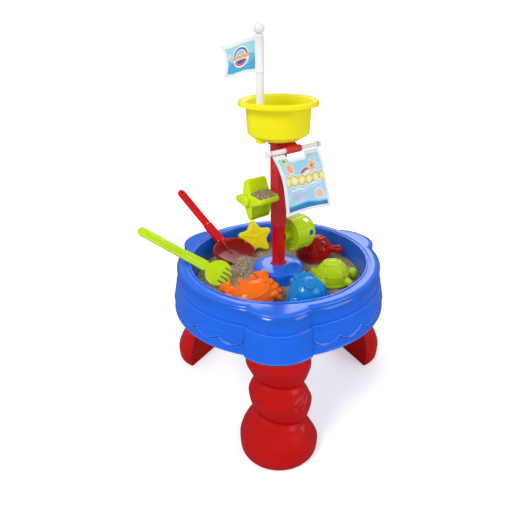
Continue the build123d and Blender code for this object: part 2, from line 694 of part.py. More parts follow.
def star_outline(grow):
    """Five-pointed star; its tips move further than its notches."""
    points = []
    for i in range(10):
        radius = 36.0 + grow * 1.6 if i % 2 == 0 else 17.0 + grow
        turn = math.radians(90 + 8 + 36 * i)
        points.append((radius * math.cos(turn), radius * math.sin(turn)))
    Polygon(*points, align=None)


# three lie on the sand: front left, front right and right
dome_mould("crab_mould", turned((-47, -97, LYING_H), 12), crab_outline,
           low=20, high=40, crown_x=36, crown_y=27)
dome_mould("fish_mould", turned((49, -92.5, LYING_H), 20), fish_outline,
           low=18, high=41, crown_x=30, crown_y=27)
dome_mould("turtle_mould", turned((98, -25, LYING_H), 8), turtle_outline,
           low=14, high=36, crown_x=29, crown_y=24)
# one leans at the back right of the well
dome_mould("seal_mould", turned((72, 72, 260.0), 30, tilt_dir=-104, tilt=24), seal_outline,
           low=13, high=31, crown_x=33, crown_y=30)

# starfish mould, standing on edge against the back wall
STAR = turned((-47, 126, 266.5), 10, tilt_dir=-70, tilt=62)
STAR_TAPER = 10

with BuildPart() as star_mould:
    with BuildSketch(STAR):
        star_outline(0)
    extrude(amount=16, taper=STAR_TAPER)
    with BuildSketch(STAR.offset(-0.01)):
        star_outline(-2.2)
    extrude(amount=13.6, taper=STAR_TAPER, mode=Mode.SUBTRACT)
save(star_mould.part, "star_mould")

# ---------------------------------------------------------------- shovel and rake
# One moulding each: a flat handle with a collar, and a dished blade or a toothed head.
HANDLE_W = 17.0
HANDLE_T = 8.0


def tool_plane(origin, along, roll=0.0):
    """Plane with x along the tool, its top face leaning to the left of x by roll degrees."""
    side = UP.cross(along).normalized()
    top = along.cross(side)
    lean = math.radians(roll)
    return Plane(origin=origin, x_dir=along, z_dir=side * math.sin(lean) + top * math.cos(lean))


def tool_handle(plane, length, collar, hole_r=0.0):
    """Flat handle from the plane's origin along x, with a thicker collar near the root."""
    with BuildPart() as handle:
        with BuildSketch(plane.offset(-HANDLE_T / 2)):
            with Locations((length / 2, 0)):
                RectangleRounded(length, HANDLE_W, HANDLE_W / 2 - 0.1)
        extrude(amount=HANDLE_T)
        with BuildSketch(plane.offset(-HANDLE_T / 2 - 1.0)):
            with Locations((collar / 2 + 4, 0)):
                RectangleRounded(collar, HANDLE_W + 3.6, 4)
        extrude(amount=HANDLE_T + 2.0)
        if hole_r:
            with BuildSketch(plane.offset(-HANDLE_T)):
                with Locations((length - HANDLE_W / 2, 0)):
                    Circle(hole_r)
            extrude(amount=2 * HANDLE_T, mode=Mode.SUBTRACT)
    return handle.part


# shovel, at the back left
SHOVEL_ROOT = Vector(-113.0, 84.8, 267.5)
SHOVEL_DIR = Vector(-36.1, 21.2, 38.0).normalized()
BLADE_TILT = math.radians(19)
BLADE_HEADING = math.radians(138)
BLADE_DIR = Vector(math.cos(BLADE_HEADING) * math.cos(BLADE_TILT),
                   math.sin(BLADE_HEADING) * math.cos(BLADE_TILT), math.sin(BLADE_TILT))
BLADE = tool_plane(SHOVEL_ROOT - BLADE_DIR * 34.0, BLADE_DIR)
# Ovals of the blade: offset from its plane, half length, half width.
BLADE_BODY = ((-5, 30, 36), (5, 38.0, 44.5))
BLADE_DISH = ((-3.2, 28.5, 34.5), (5.01, 36.3, 42.8))
BLADE_CLEAR = ((-3.2, 28.3, 34.3), (8, 36.1, 42.6))

shovel_handle = tool_handle(tool_plane(SHOVEL_ROOT, SHOVEL_DIR), 140.0, 46.0, hole_r=2.6)
with BuildPart() as shovel:
    # dished blade, wider than it is long
    for offset, half_length, half_width in BLADE_BODY:
        with BuildSketch(BLADE.offset(offset)):
            Ellipse(half_length, half_width)
    loft()
    for offset, half_length, half_width in BLADE_DISH:
        with BuildSketch(BLADE.offset(offset)):
            Ellipse(half_length, half_width)
    loft(mode=Mode.SUBTRACT)
    add(shovel_handle)
    # the handle stops at the blade's rim
    for offset, half_length, half_width in BLADE_CLEAR:
        with BuildSketch(BLADE.offset(offset)):
            Ellipse(half_length, half_width)
    loft(mode=Mode.SUBTRACT)
save(shovel.part, "shovel")

# rake, at the left
RAKE_ROOT = Vector(-128.6, -10.8, 274.2)
RAKE_ROLL = 36.0
RAKE_DIR = Vector(-48.9, 17.7, 23.6).normalized()
HEAD_DIR = Vector(-0.94, 0.34, 0.36).normalized()
HEAD = tool_plane(RAKE_ROOT - HEAD_DIR * 22.0, HEAD_DIR, RAKE_ROLL)
SLOTS = (-13.5, -4.5, 4.5, 13.5)      # places of the slots across the head

rake_handle = tool_handle(tool_plane(RAKE_ROOT, RAKE_DIR, RAKE_ROLL), 150.6, 48.0)
with BuildPart() as rake:
    # round palm
    with BuildSketch(HEAD.offset(-3)):
        Ellipse(24, 25)
    extrude(amount=6)
    # bar across the far end, reaching below the palm, slotted into tines
    with BuildSketch(HEAD.offset(-7)):
        with Locations((-21, 0)):
            Rectangle(9, 46)
    extrude(amount=9)
    for slot in SLOTS:
        with BuildSketch(HEAD.offset(-18)):
            with Locations((-22, slot)):
                Rectangle(26, 3.2)
        extrude(amount=30, mode=Mode.SUBTRACT)
    add(rake_handle)
save(rake.part, "rake")
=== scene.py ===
"""Sand play table: a blue three-lobed basin on three red legs, toys lying in its sand, and a
central tower carrying a bowl, a flag, a printed sail, a scoop wheel and a drum.

The scene is in metres with +Z up, the floor at z = 0 and the camera on -Y. Shapes are modelled
in millimetres about the basin's axis (the working frame); add_mesh moves them into the scene.
The tower's arms lie along ALONG; the sail hangs on the ACROSS side.
"""
import bpy
import math
from functools import reduce
from itertools import product
import numpy as np
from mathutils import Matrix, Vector


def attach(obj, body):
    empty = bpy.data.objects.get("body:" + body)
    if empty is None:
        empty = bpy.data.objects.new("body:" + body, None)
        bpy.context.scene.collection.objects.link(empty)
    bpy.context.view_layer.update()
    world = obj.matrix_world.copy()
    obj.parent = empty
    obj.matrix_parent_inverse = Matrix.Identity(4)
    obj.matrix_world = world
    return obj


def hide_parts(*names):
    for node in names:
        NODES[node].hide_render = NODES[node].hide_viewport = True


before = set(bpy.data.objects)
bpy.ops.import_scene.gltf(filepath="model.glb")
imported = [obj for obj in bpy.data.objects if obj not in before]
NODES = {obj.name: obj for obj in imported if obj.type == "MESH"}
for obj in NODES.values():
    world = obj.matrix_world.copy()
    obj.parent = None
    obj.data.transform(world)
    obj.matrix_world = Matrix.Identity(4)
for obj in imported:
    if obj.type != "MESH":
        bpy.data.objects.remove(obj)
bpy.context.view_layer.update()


# ---------------------------------------------------------------- working frame (mm)
AXIS_X, AXIS_Y = 18.48, 25.33                       # basin axis in the scene
ARM_HEADING = math.radians(41)
ALONG = np.array([math.cos(ARM_HEADING), math.sin(ARM_HEADING), 0.0])     # to the rear right
ACROSS = np.array([math.sin(ARM_HEADING), -math.cos(ARM_HEADING), 0.0])   # to the front right
UP = np.array([0.0, 0.0, 1.0])


def at(along, across, height):
    """Points from arm coordinates; each may be a number or an array."""
    along, across, height = (np.asarray(v, float)[..., None] for v in (along, across, height))
    return along * ALONG + across * ACROSS + height * UP


POLE = at(-38.5, 0, 0)                              # flag pole, on the front left arm


def unit(vector):
    vector = np.asarray(vector, float)
    return vector / np.linalg.norm(vector)


class Axes:
    """Local axes placed in the working frame."""

    def __init__(self, origin, x, z):
        self.origin = np.asarray(origin, float)
        self.z = unit(z)
        x = np.asarray(x, float)
        self.x = unit(x - self.z * (x @ self.z))
        self.y = np.cross(self.z, self.x)

    def place(self, points):
        return (self.origin + points[:, :1] * self.x + points[:, 1:2] * self.y
                + points[:, 2:3] * self.z)


WORLD = Axes((0, 0, 0), (1, 0, 0), (0, 0, 1))


def leaning(origin, heading, lean_heading=0.0, lean=0.0):
    """Axes whose x has a heading and whose z leans towards another heading, in degrees."""
    heading, towards, lean = (math.radians(v) for v in (heading, lean_heading, lean))
    normal = (math.sin(lean) * math.cos(towards), math.sin(lean) * math.sin(towards),
              math.cos(lean))
    return Axes(origin, (math.cos(heading), math.sin(heading), 0), normal)


def add_object(name, data):
    new = bpy.data.objects.new(name, data)
    bpy.context.scene.collection.objects.link(new)
    return new


def add_mesh(name, vertices, faces, body, material, slot, replaced=None, axes=WORLD, uv=None,
             sharp=None):
    """A smooth piece riding on a body; it may replace a CAD node."""
    points = (axes.place(vertices) + np.array([AXIS_X, AXIS_Y, 0.0])) * 0.001
    mesh = bpy.data.meshes.new(name)
    faces = [tuple(int(i) for i in face) for face in faces]
    mesh.from_pydata(points.tolist(), [], faces)
    mesh.polygons.foreach_set("use_smooth", [True] * len(mesh.polygons))
    if uv is not None:
        layer = mesh.uv_layers.new(name="UVMap")
        corners = np.zeros(len(mesh.loops), np.int32)
        mesh.loops.foreach_get("vertex_index", corners)
        layer.data.foreach_set("uv", np.asarray(uv, np.float32)[corners].ravel())
    mesh.update()
    if sharp is not None:
        mesh.set_sharp_from_angle(angle=math.radians(sharp))
    piece = add_object(name, mesh)
    mesh.materials.append(material)
    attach(piece, body)
    if replaced:
        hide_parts(replaced)


def add_solid(name, vertices, faces, *details, **options):
    """add_mesh with the faces turned outwards: all flip if the enclosed volume is negative."""
    fans = np.array([(f[0], f[k], f[k + 1]) for f in faces for k in range(1, len(f) - 1)])
    first, second, third = (vertices[fans[:, k]] for k in range(3))
    if np.einsum("ij,ij->", first, np.cross(second, third)) < 0:
        faces = [face[::-1] for face in faces]
    add_mesh(name, vertices, faces, *details, **options)


# ---------------------------------------------------------------- outlines, turning, lofting
def level(outline, z):
    """A plane outline as points at height z."""
    return np.c_[outline, np.full(len(outline), z)]


def spin(points, degrees):
    """Points turned about Z."""
    angle = math.radians(degrees)
    turn_by = np.array([[math.cos(angle), -math.sin(angle)], [math.sin(angle), math.cos(angle)]])
    spun = points.copy()
    spun[:, :2] = points[:, :2] @ turn_by.T
    return spun


def band(lower, upper, count, flip=False):
    """Quads between two rings of count points, given their first vertex numbers."""
    faces = []
    for i in range(count):
        j = (i + 1) % count
        if flip:
            faces.append((lower + i, upper + i, upper + j, lower + j))
        else:
            faces.append((lower + i, lower + j, upper + j, upper + i))
    return faces


def loft(rings, close=False):
    """Surface through rings of equal count; close joins the last ring to the first."""
    count = len(rings[0])
    last = (len(rings) - 1) * count
    faces = []
    for start in range(0, last, count):
        faces += band(start, start + count, count)
    if close:
        faces += band(last, 0, count)
    return np.vstack(rings), faces


def circle(count):
    angles = np.linspace(0, 2 * math.pi, count, endpoint=False)
    return np.c_[np.cos(angles), np.sin(angles)]


def turn(profile, count, close):
    """Profile (radius, z) turned about local Z; close makes a ring-shaped solid."""
    return loft([level(radius * circle(count), z) for radius, z in profile], close)


def sweep_between(start, end):
    """Shortest signed turn from one angle to another."""
    return (end - start + math.pi) % (2 * math.pi) - math.pi


def arc(centre, radius, start, sweep, steps):
    angles = start + sweep * np.arange(steps + 1) / steps
    return centre + radius * np.c_[np.cos(angles), np.sin(angles)]


def path(corners, closed=False, density=5):
    """Polyline through (radius, z[, rounding]) corners; density sets points per rounding."""
    points = [np.array(corner[:2], float) for corner in corners]
    count = len(points)
    out = []
    for i, corner in enumerate(corners):
        here = points[i]
        if len(corner) < 3 or (not closed and i in (0, count - 1)):
            out.append(here)
            continue
        back, ahead = points[i - 1] - here, points[(i + 1) % count] - here
        back_length, ahead_length = np.linalg.norm(back), np.linalg.norm(ahead)
        back, ahead = back / back_length, ahead / ahead_length
        angle = math.acos(max(-1, min(1, float(back @ ahead))))
        if angle > math.pi - 0.02:
            out.append(here)
            continue
        tangent = min(corner[2] / math.tan(angle / 2), 0.49 * back_length, 0.49 * ahead_length)
        radius = tangent * math.tan(angle / 2)
        centre = here + unit(back + ahead) * (radius / math.sin(angle / 2))
        first, last = here + back * tangent - centre, here + ahead * tangent - centre
        start = math.atan2(first[1], first[0])
        sweep = sweep_between(start, math.atan2(last[1], last[0]))
        steps = max(2, int(density * abs(sweep) / 1.2) + 2)
        out.extend(arc(centre, radius, start, sweep, steps))
    return np.array(out)


def fill(points, gap):
    """Extra points on long straight runs, about gap apart."""
    out = [points[0]]
    for start, end in zip(points[:-1], points[1:]):
        count = max(1, int(np.linalg.norm(end - start) / gap))
        out += [start + (end - start) * k / count for k in range(1, count + 1)]
    return np.array(out)


def monotone(x, y, query):
    """Monotone cubic through the points (x, y), read at query."""
    step = np.diff(x)
    slope = np.diff(y) / step
    tangent = np.zeros(len(x))
    for i in range(1, len(x) - 1):
        if slope[i - 1] * slope[i] > 0:
            before, after = 2 * step[i] + step[i - 1], step[i] + 2 * step[i - 1]
            tangent[i] = (before + after) / (before / slope[i - 1] + after / slope[i])
    tangent[0], tangent[-1] = slope[0], slope[-1]
    i = np.clip(np.searchsorted(x, query) - 1, 0, len(step) - 1)
    t = (query - x[i]) / step[i]
    return ((2 * t ** 3 - 3 * t ** 2 + 1) * y[i]
            + (t ** 3 - 2 * t ** 2 + t) * step[i] * tangent[i]
            + (-2 * t ** 3 + 3 * t ** 2) * y[i + 1] + (t ** 3 - t ** 2) * step[i] * tangent[i + 1])


# ---------------------------------------------------------------- distance fields
# A field takes coordinates xyz and gives a signed distance, negative inside.
def union(a, b, soft):
    near = np.maximum(soft - np.abs(a - b), 0.0) / soft
    return np.minimum(a, b) - near * near * soft * 0.25


def common(a, b, soft):
    return -union(-a, -b, soft)


def carve(a, b, soft):
    """a with b taken away."""
    return common(a, -b, soft)


def bell(offset, width):
    return np.exp(-(offset / width) ** 2)


def ellipsoid(xyz, centre, radii):
    offsets = [v - c for v, c in zip(xyz, centre)]
    scaled = np.sqrt(sum((v / r) ** 2 for v, r in zip(offsets, radii))) + 1e-9
    slope = np.sqrt(sum((v / r ** 2) ** 2 for v, r in zip(offsets, radii))) + 1e-9
    return scaled * (scaled - 1.0) / slope


def capsule(xyz, start, end, start_radius, end_radius):
    offsets = [v - s for v, s in zip(xyz, start)]
    span = [e - s for e, s in zip(end, start)]
    length2 = sum(s * s for s in span) + 1e-9
    share = np.clip(sum(v * s for v, s in zip(offsets, span)) / length2, 0, 1)
    away = np.sqrt(sum((v - s * share) ** 2 for v, s in zip(offsets, span)))
    return away - (start_radius + (end_radius - start_radius) * share)


def round_box(xyz, centre, half, radius):
    dx, dy, dz = [np.abs(v - c) - (h - radius) for v, c, h in zip(xyz, centre, half)]
    outside = np.sqrt(np.maximum(dx, 0) ** 2 + np.maximum(dy, 0) ** 2 + np.maximum(dz, 0) ** 2)
    return outside + np.minimum(np.maximum(dx, np.maximum(dy, dz)), 0) - radius


def slab(plane, z, low, high, radius):
    """Plane distance extruded from low to high with rounded edges."""
    side, end = plane + radius, np.abs(z - (low + high) / 2) - ((high - low) / 2 - radius)
    return (np.minimum(np.maximum(side, end), 0)
            + np.sqrt(np.maximum(side, 0) ** 2 + np.maximum(end, 0) ** 2) - radius)


def oval_foot(xyz, radius_x, radius_y, top, edge):
    """Oval plate under a toy, running on below z = 0."""
    x, y, z = xyz
    plane = ellipsoid((x, y, z * 0), (0, 0, 0), (radius_x, radius_y, 1e3))
    return slab(plane, z, -12, top, edge)


RELAX_ROUNDS = 2
PROBE = 0.15             # offset for measuring a field's slope


def surface_net(field, low, high, cell):
    """Quad mesh of field = 0 by surface nets, its points pulled onto the true surface."""
    low = np.asarray(low, float)
    size = np.ceil((np.asarray(high, float) - low) / cell).astype(int) + 1
    ticks = [low[i] + cell * np.arange(size[i]) for i in range(3)]
    grid = field(np.meshgrid(*ticks, indexing="ij")).astype(np.float64)
    grid[np.abs(grid) < 1e-7] = 1e-7
    inside = grid < 0
    corners = list(product((0, 1), repeat=3))
    filled = np.zeros(tuple(size - 1), np.int8)
    for corner in corners:
        filled += inside[tuple(slice(c, n - 1 + c) for c, n in zip(corner, size))]
    active = (filled > 0) & (filled < 8)
    cells = np.argwhere(active)
    number = np.full(tuple(size - 1), -1, np.int64)
    number[active] = np.arange(len(cells))
    # each vertex is the mean of its cell's edge crossings
    total = np.zeros((len(cells), 3))
    hits = np.zeros(len(cells))
    for corner in corners:
        for axis in range(3):
            if corner[axis]:
                continue
            other = list(corner)
            other[axis] = 1
            start = grid[tuple((cells + corner).T)]
            end = grid[tuple((cells + other).T)]
            cross = (start < 0) != (end < 0)
            share = np.zeros(len(cells))
            share[cross] = start[cross] / (start[cross] - end[cross])
            crossing = np.tile(np.array(corner, float), (len(cells), 1))
            crossing[:, axis] += share
            total[cross] += crossing[cross]
            hits[cross] += 1
    points = low + (cells + total / hits[:, None]) * cell
    # a quad round every grid edge that crosses the surface
    faces = []
    for axis in range(3):
        second, third = (axis + 1) % 3, (axis + 2) % 3
        starts, ends = [slice(1, -1)] * 3, [slice(1, -1)] * 3
        starts[axis], ends[axis] = slice(0, -1), slice(1, None)
        start, end = inside[tuple(starts)], inside[tuple(ends)]
        for cross, reverse in ((start & ~end, False), (~start & end, True)):
            edges = np.argwhere(cross)
            quad = []
            for step_second, step_third in ((0, 0), (1, 0), (1, 1), (0, 1)):
                around = edges.copy()
                around[:, second] += step_second
                around[:, third] += step_third
                quad.append(number[tuple(around.T)])
            quad = np.stack(quad, 1)
            faces.append(quad[:, ::-1] if reverse else quad)
    faces = np.vstack(faces)
    # smooth along the surface, then pull back onto it
    edges = np.vstack([faces[:, [0, 1]], faces[:, [1, 2]], faces[:, [2, 3]], faces[:, [3, 0]]])
    for k in range(RELAX_ROUNDS + 1):
        if k < RELAX_ROUNDS:
            total = np.zeros_like(points)
            hits = np.zeros(len(points))
            for here, there in ((0, 1), (1, 0)):
                np.add.at(total, edges[:, here], points[edges[:, there]])
                np.add.at(hits, edges[:, here], 1)
            points = 0.5 * points + 0.5 * total / hits[:, None]
        value = field(points.T)
        slope = np.stack([field((points + step).T) - value for step in PROBE * np.eye(3)], 1)
        slope = slope / PROBE
        move = -(value / np.maximum((slope * slope).sum(1), 0.2))[:, None] * slope
        length = np.linalg.norm(move, axis=1)
        move *= np.minimum(1, 0.6 * cell / np.maximum(length, 1e-9))[:, None]
        points = points + move
    return points, faces.tolist()


# ---------------------------------------------------------------- shader nodes
def feed(target, values):
    """Link or set a node's inputs, keyed by name or index."""
    for key, value in values.items():
        if isinstance(value, Value):
            value = value.socket
        if isinstance(value, bpy.types.NodeSocket):
            Value.tree.links.new(value, target.inputs[key])
        else:
            target.inputs[key].default_value = value


def node(kind, values=None):
    new = Value.tree.nodes.new("ShaderNode" + kind)
    feed(new, values or {})
    return new


class Value:
    """A node output that can be added, multiplied and compared."""
    tree = None          # the node tree being built

    def __init__(self, socket):
        self.socket = socket

    @staticmethod
    def math(operation, *operands, clamp=False):
        new = node("Math", dict(enumerate(operands)))
        new.operation = operation
        new.use_clamp = clamp
        return Value(new.outputs[0])

    def __add__(self, other):
        return Value.math("ADD", self, other)

    def __sub__(self, other):
        return Value.math("SUBTRACT", self, other)

    def __rsub__(self, other):
        return Value.math("SUBTRACT", other, self)

    def __mul__(self, other):
        return Value.math("MULTIPLY", self, other)

    def __truediv__(self, other):
        return Value.math("DIVIDE", self, other)

    def abs(self):
        return Value.math("ABSOLUTE", self)

    def sin(self):
        return Value.math("SINE", self)

    def sqrt(self):
        return Value.math("SQRT", self)

    def fract(self):
        return Value.math("FRACT", self)

    def min(self, other):
        return Value.math("MINIMUM", self, other)

    def ramp(self, gain, offset, clamp=True):
        return Value.math("MULTIPLY_ADD", self, gain, offset, clamp=clamp)

    def fade(self, low, high):
        """1 up to low, falling to 0 at high."""
        return self.ramp(gain=-1.0 / (high - low), offset=high / (high - low))

    def below(self, limit, soft):
        return (self - limit).ramp(gain=-1.0 / soft, offset=0.5)

    def above(self, limit, soft):
        return (self - limit).ramp(gain=1.0 / soft, offset=0.5)


def new_material(name):
    material = bpy.data.materials.new(name)
    material.use_nodes = True
    Value.tree = material.node_tree
    Value.tree.nodes.clear()
    output = node("OutputMaterial")
    shader = node("BsdfPrincipled")
    feed(output, {0: shader.outputs[0]})
    return material, shader


def srgb(*channels):
    """Linear RGBA from 0-255 display values."""
    shares = [c / 255 for c in channels]
    return tuple(((v + 0.055) / 1.055) ** 2.4 if v > 0.04045 else v / 12.92
                 for v in shares) + (1.0,)


def shade(colour, gain, lift=0.0):
    return tuple(min(1.0, c * gain + lift) for c in colour[:3]) + (1.0,)


def noise(vector, scale, detail=2.0, roughness=0.5, distortion=0.0):
    return Value(node("TexNoise", {
        "Vector": vector, "Scale": scale, "Detail": detail, "Roughness": roughness,
        "Distortion": distortion}).outputs["Fac"])


def mix(factor, first, second):
    new = node("Mix")
    new.data_type = "RGBA"
    new.clamp_factor = True
    feed(new, {0: factor, 6: first, 7: second})
    return new.outputs[2]


def bumped(height, strength, distance, normal=None, invert=False):
    new = node("Bump", {"Height": height, "Strength": strength, "Distance": distance})
    new.invert = invert
    if normal is not None:
        feed(new, {"Normal": normal})
    return new.outputs[0]


def coordinates(kind):
    return node("TexCoord").outputs[kind]


def separate(vector):
    return [Value(output) for output in node("SeparateXYZ", {0: vector}).outputs]


# ---------------------------------------------------------------- plastics and sand
def plastic(name, colour, roughness, specular=0.30, coat=0.10, wear_and_highlight=0.25, cavity=0.35,
            proud=None, subsurface=0.0, dust=0.0, dust_band=(0.24, 0.262), dust_radius=None,
            deep_band=None, deep_colour=None):
    """Glossy moulded plastic.

    The edge weight, cavity and proud set three marks read from pointiness: pale worn edges that
    also serve as a painted edge highlight, painted shade darkening the creases, and a painted
    highlight along raised lines. Sand dust fades out over dust_band (heights, m), within
    dust_radius of the basin's axis if given. The colour turns to deep_colour going down
    through deep_band (m).
    """
    material, shader = new_material(name)
    place = coordinates("Object")
    drift = noise(place, scale=14.0, detail=3.0)
    grain = noise(place, scale=120.0, detail=4.0, roughness=0.6)
    base = srgb(*colour)
    tint = mix(drift.ramp(gain=1.6, offset=-0.3), shade(base, gain=0.86),
               shade(base, gain=1.08, lift=0.001))
    pointiness = Value(node("NewGeometry").outputs["Pointiness"])
    # pale edges: partly worn plastic, partly a painted highlight on convex edges
    edge = pointiness.ramp(gain=14.0, offset=-7.3) * grain.ramp(gain=2.0, offset=-0.5) * wear_and_highlight
    tint = mix(edge, tint, shade(base, gain=0.82, lift=0.13))
    # painted shade: the plastic is darkened in creases and hollows, where shade falls
    painted_crease_shade = pointiness.ramp(gain=-24.0, offset=11.80) * cavity
    tint = mix(painted_crease_shade, tint, shade(base, gain=0.42))
    # painted highlight: raised lines and ridges are lightened as if catching the light
    painted_ridge_highlight = pointiness.ramp(gain=20.0, offset=-10.16) * (cavity * 0.55 if proud is None
                                                          else proud)
    tint = mix(painted_ridge_highlight, tint, shade(base, gain=0.85, lift=0.10))
    if deep_band:
        height = separate(place)[2]
        tint = mix(height.fade(*deep_band), tint, srgb(*deep_colour))
    rough = grain.ramp(gain=0.10, offset=roughness - 0.05, clamp=False)
    if dust > 0:
        x, y, z = separate(place)
        fall = z.fade(*dust_band)
        speck = noise(place, scale=900.0, detail=2.0, roughness=0.6)
        patch = noise(place, scale=60.0, detail=3.0, roughness=0.6)
        if dust_radius:
            x, y = x - AXIS_X / 1000, y - AXIS_Y / 1000
            fall = fall * (x * x + y * y).sqrt().below(dust_radius, soft=0.002)
        mask = (fall * fall * speck.ramp(gain=6.0, offset=-3.1)
                * patch.ramp(gain=3.0, offset=-0.9) * dust)
        tint = mix(mask, tint, srgb(176, 152, 120))
        rough = rough + mask * 0.5
    feed(shader, {"Base Color": tint, "Roughness": rough, "IOR": 1.5,
                  "Specular IOR Level": specular, "Coat Weight": coat, "Coat Roughness": 0.07})
    if subsurface > 0:
        feed(shader, {"Subsurface Weight": subsurface, "Subsurface Radius": (1.0, 0.6, 0.3),
                      "Subsurface Scale": 0.004})
    # orange peel, then hairline scratches from a stretched noise
    peel = noise(place, scale=420.0)
    stretched = node("Mapping", {"Vector": place, "Rotation": (0.4, 0.9, 0.3),
                                 "Scale": (60.0, 2200.0, 900.0)}).outputs[0]
    scratches = noise(stretched, scale=1.0, detail=1.0).ramp(gain=9.0, offset=-6.0)
    normal = bumped(peel, strength=0.10, distance=0.0004)
    normal = bumped(scratches, strength=0.10, distance=0.00015, normal=normal, invert=True)
    feed(shader, {"Normal": normal})
    return material


# cavity and proud here set the painted crease shade and the painted highlights on the raised wave
# and step lines
BLUE = plastic("blue_moulded", (0, 104, 238), 0.19, specular=0.55, coat=0.26, cavity=0.4,
               proud=0.75, dust=1.0, dust_band=(0.238, 0.266), dust_radius=0.160)
RED = plastic("red_moulded", (218, 0, 10), 0.24, specular=0.26, cavity=0.4)
RED_LEG = plastic("red_leg", (190, 0, 4), 0.24, specular=0.24, cavity=0.6)
RED_TOY = plastic("red_toy", (172, 0, 8), 0.15, dust=0.7, dust_band=(0.24, 0.268))
YELLOW = plastic("yellow_bowl", (255, 240, 0), 0.34, subsurface=0.15)
LIME = plastic("lime_wheel", (208, 232, 0), 0.30, subsurface=0.1)
LIME_DRUM = plastic("lime_drum", (192, 226, 2), 0.28, subsurface=0.1)
WHITE = plastic("white_plastic", (240, 240, 242), 0.30, wear_and_highlight=0.0)
ORANGE = plastic("orange_toy", (255, 112, 0), 0.17, dust=0.8)
AQUA = plastic("blue_toy", (0, 134, 212), 0.15, dust=0.7)
LIME_TOY = plastic("lime_toy", (186, 218, 0), 0.18, dust=0.7)
YELLOW_TOY = plastic("yellow_toy", (252, 228, 0), 0.26, dust=0.6, dust_band=(0.24, 0.27))
RED_SHOVEL = plastic("red_shovel", (224, 2, 6), 0.14, specular=0.25, coat=0.12, dust=0.5,
                     deep_band=(0.266, 0.277), deep_colour=(134, 0, 6))
LIME_RAKE = plastic("lime_rake", (186, 226, 0), 0.22, dust=0.6, dust_band=(0.245, 0.27))


def sand_grains():
    material, shader = new_material("sand_grains")
    place = coordinates("Object")
    drift = noise(place, scale=40.0, detail=4.0, roughness=0.6)
    grain = noise(place, scale=900.0, detail=3.0, roughness=0.7)
    cells = node("TexVoronoi", {"Vector": place, "Scale": 700.0})
    pick = Value(node("SeparateColor", {0: cells.outputs["Color"]}).outputs[0])
    tint = mix(drift.ramp(gain=1.8, offset=-0.4), srgb(158, 134, 108), srgb(196, 174, 142))
    tint = mix(grain.ramp(gain=3.0, offset=-1.0) * 0.6, tint, srgb(120, 100, 80))
    tint = mix(pick.above(0.82, soft=0.05) * 0.8, tint, srgb(226, 210, 184))
    tint = mix(pick.below(0.12, soft=0.05) * 0.7, tint, srgb(86, 70, 58))
    normal = bumped(cells.outputs["Distance"], strength=0.9, distance=0.0012)
    normal = bumped(grain, strength=0.5, distance=0.001, normal=normal)
    feed(shader, {"Base Color": tint, "Roughness": 0.92, "Specular IOR Level": 0.25,
                  "Normal": normal})
    return material


SAND = sand_grains()


# ---------------------------------------------------------------- printed cloth
class Artwork:
    """Colour inked in layers over a base; masks are 1 where the ink lies."""

    def __init__(self, colour):
        self.colour = colour

    def ink(self, mask, *rgb):
        self.colour = mix(mask, self.colour, srgb(*rgb))

    def discs(self, away, soft, *discs):
        """Discs of (radius, colour), largest first."""
        for radius, rgb in discs:
            self.ink(away.below(radius, soft), *rgb)


def distance(u, v, centre_u, centre_v, scale_u, scale_v):
    u, v = (u - centre_u) * scale_u, (v - centre_v) * scale_v
    return (u * u + v * v).sqrt()


def cloth(shader, uv, colour, threads_u, threads_v):
    """Sets the woven look and returns its normal."""
    u, v, _ = separate(uv)
    weave = (u * (threads_u * math.pi * 2)).sin() * (v * (threads_v * math.pi * 2)).sin()
    normal = bumped(weave, strength=0.35, distance=0.0002)
    feed(shader, {"Base Color": colour, "Roughness": 0.42, "Sheen Weight": 0.15,
                  "Normal": normal})
    return normal


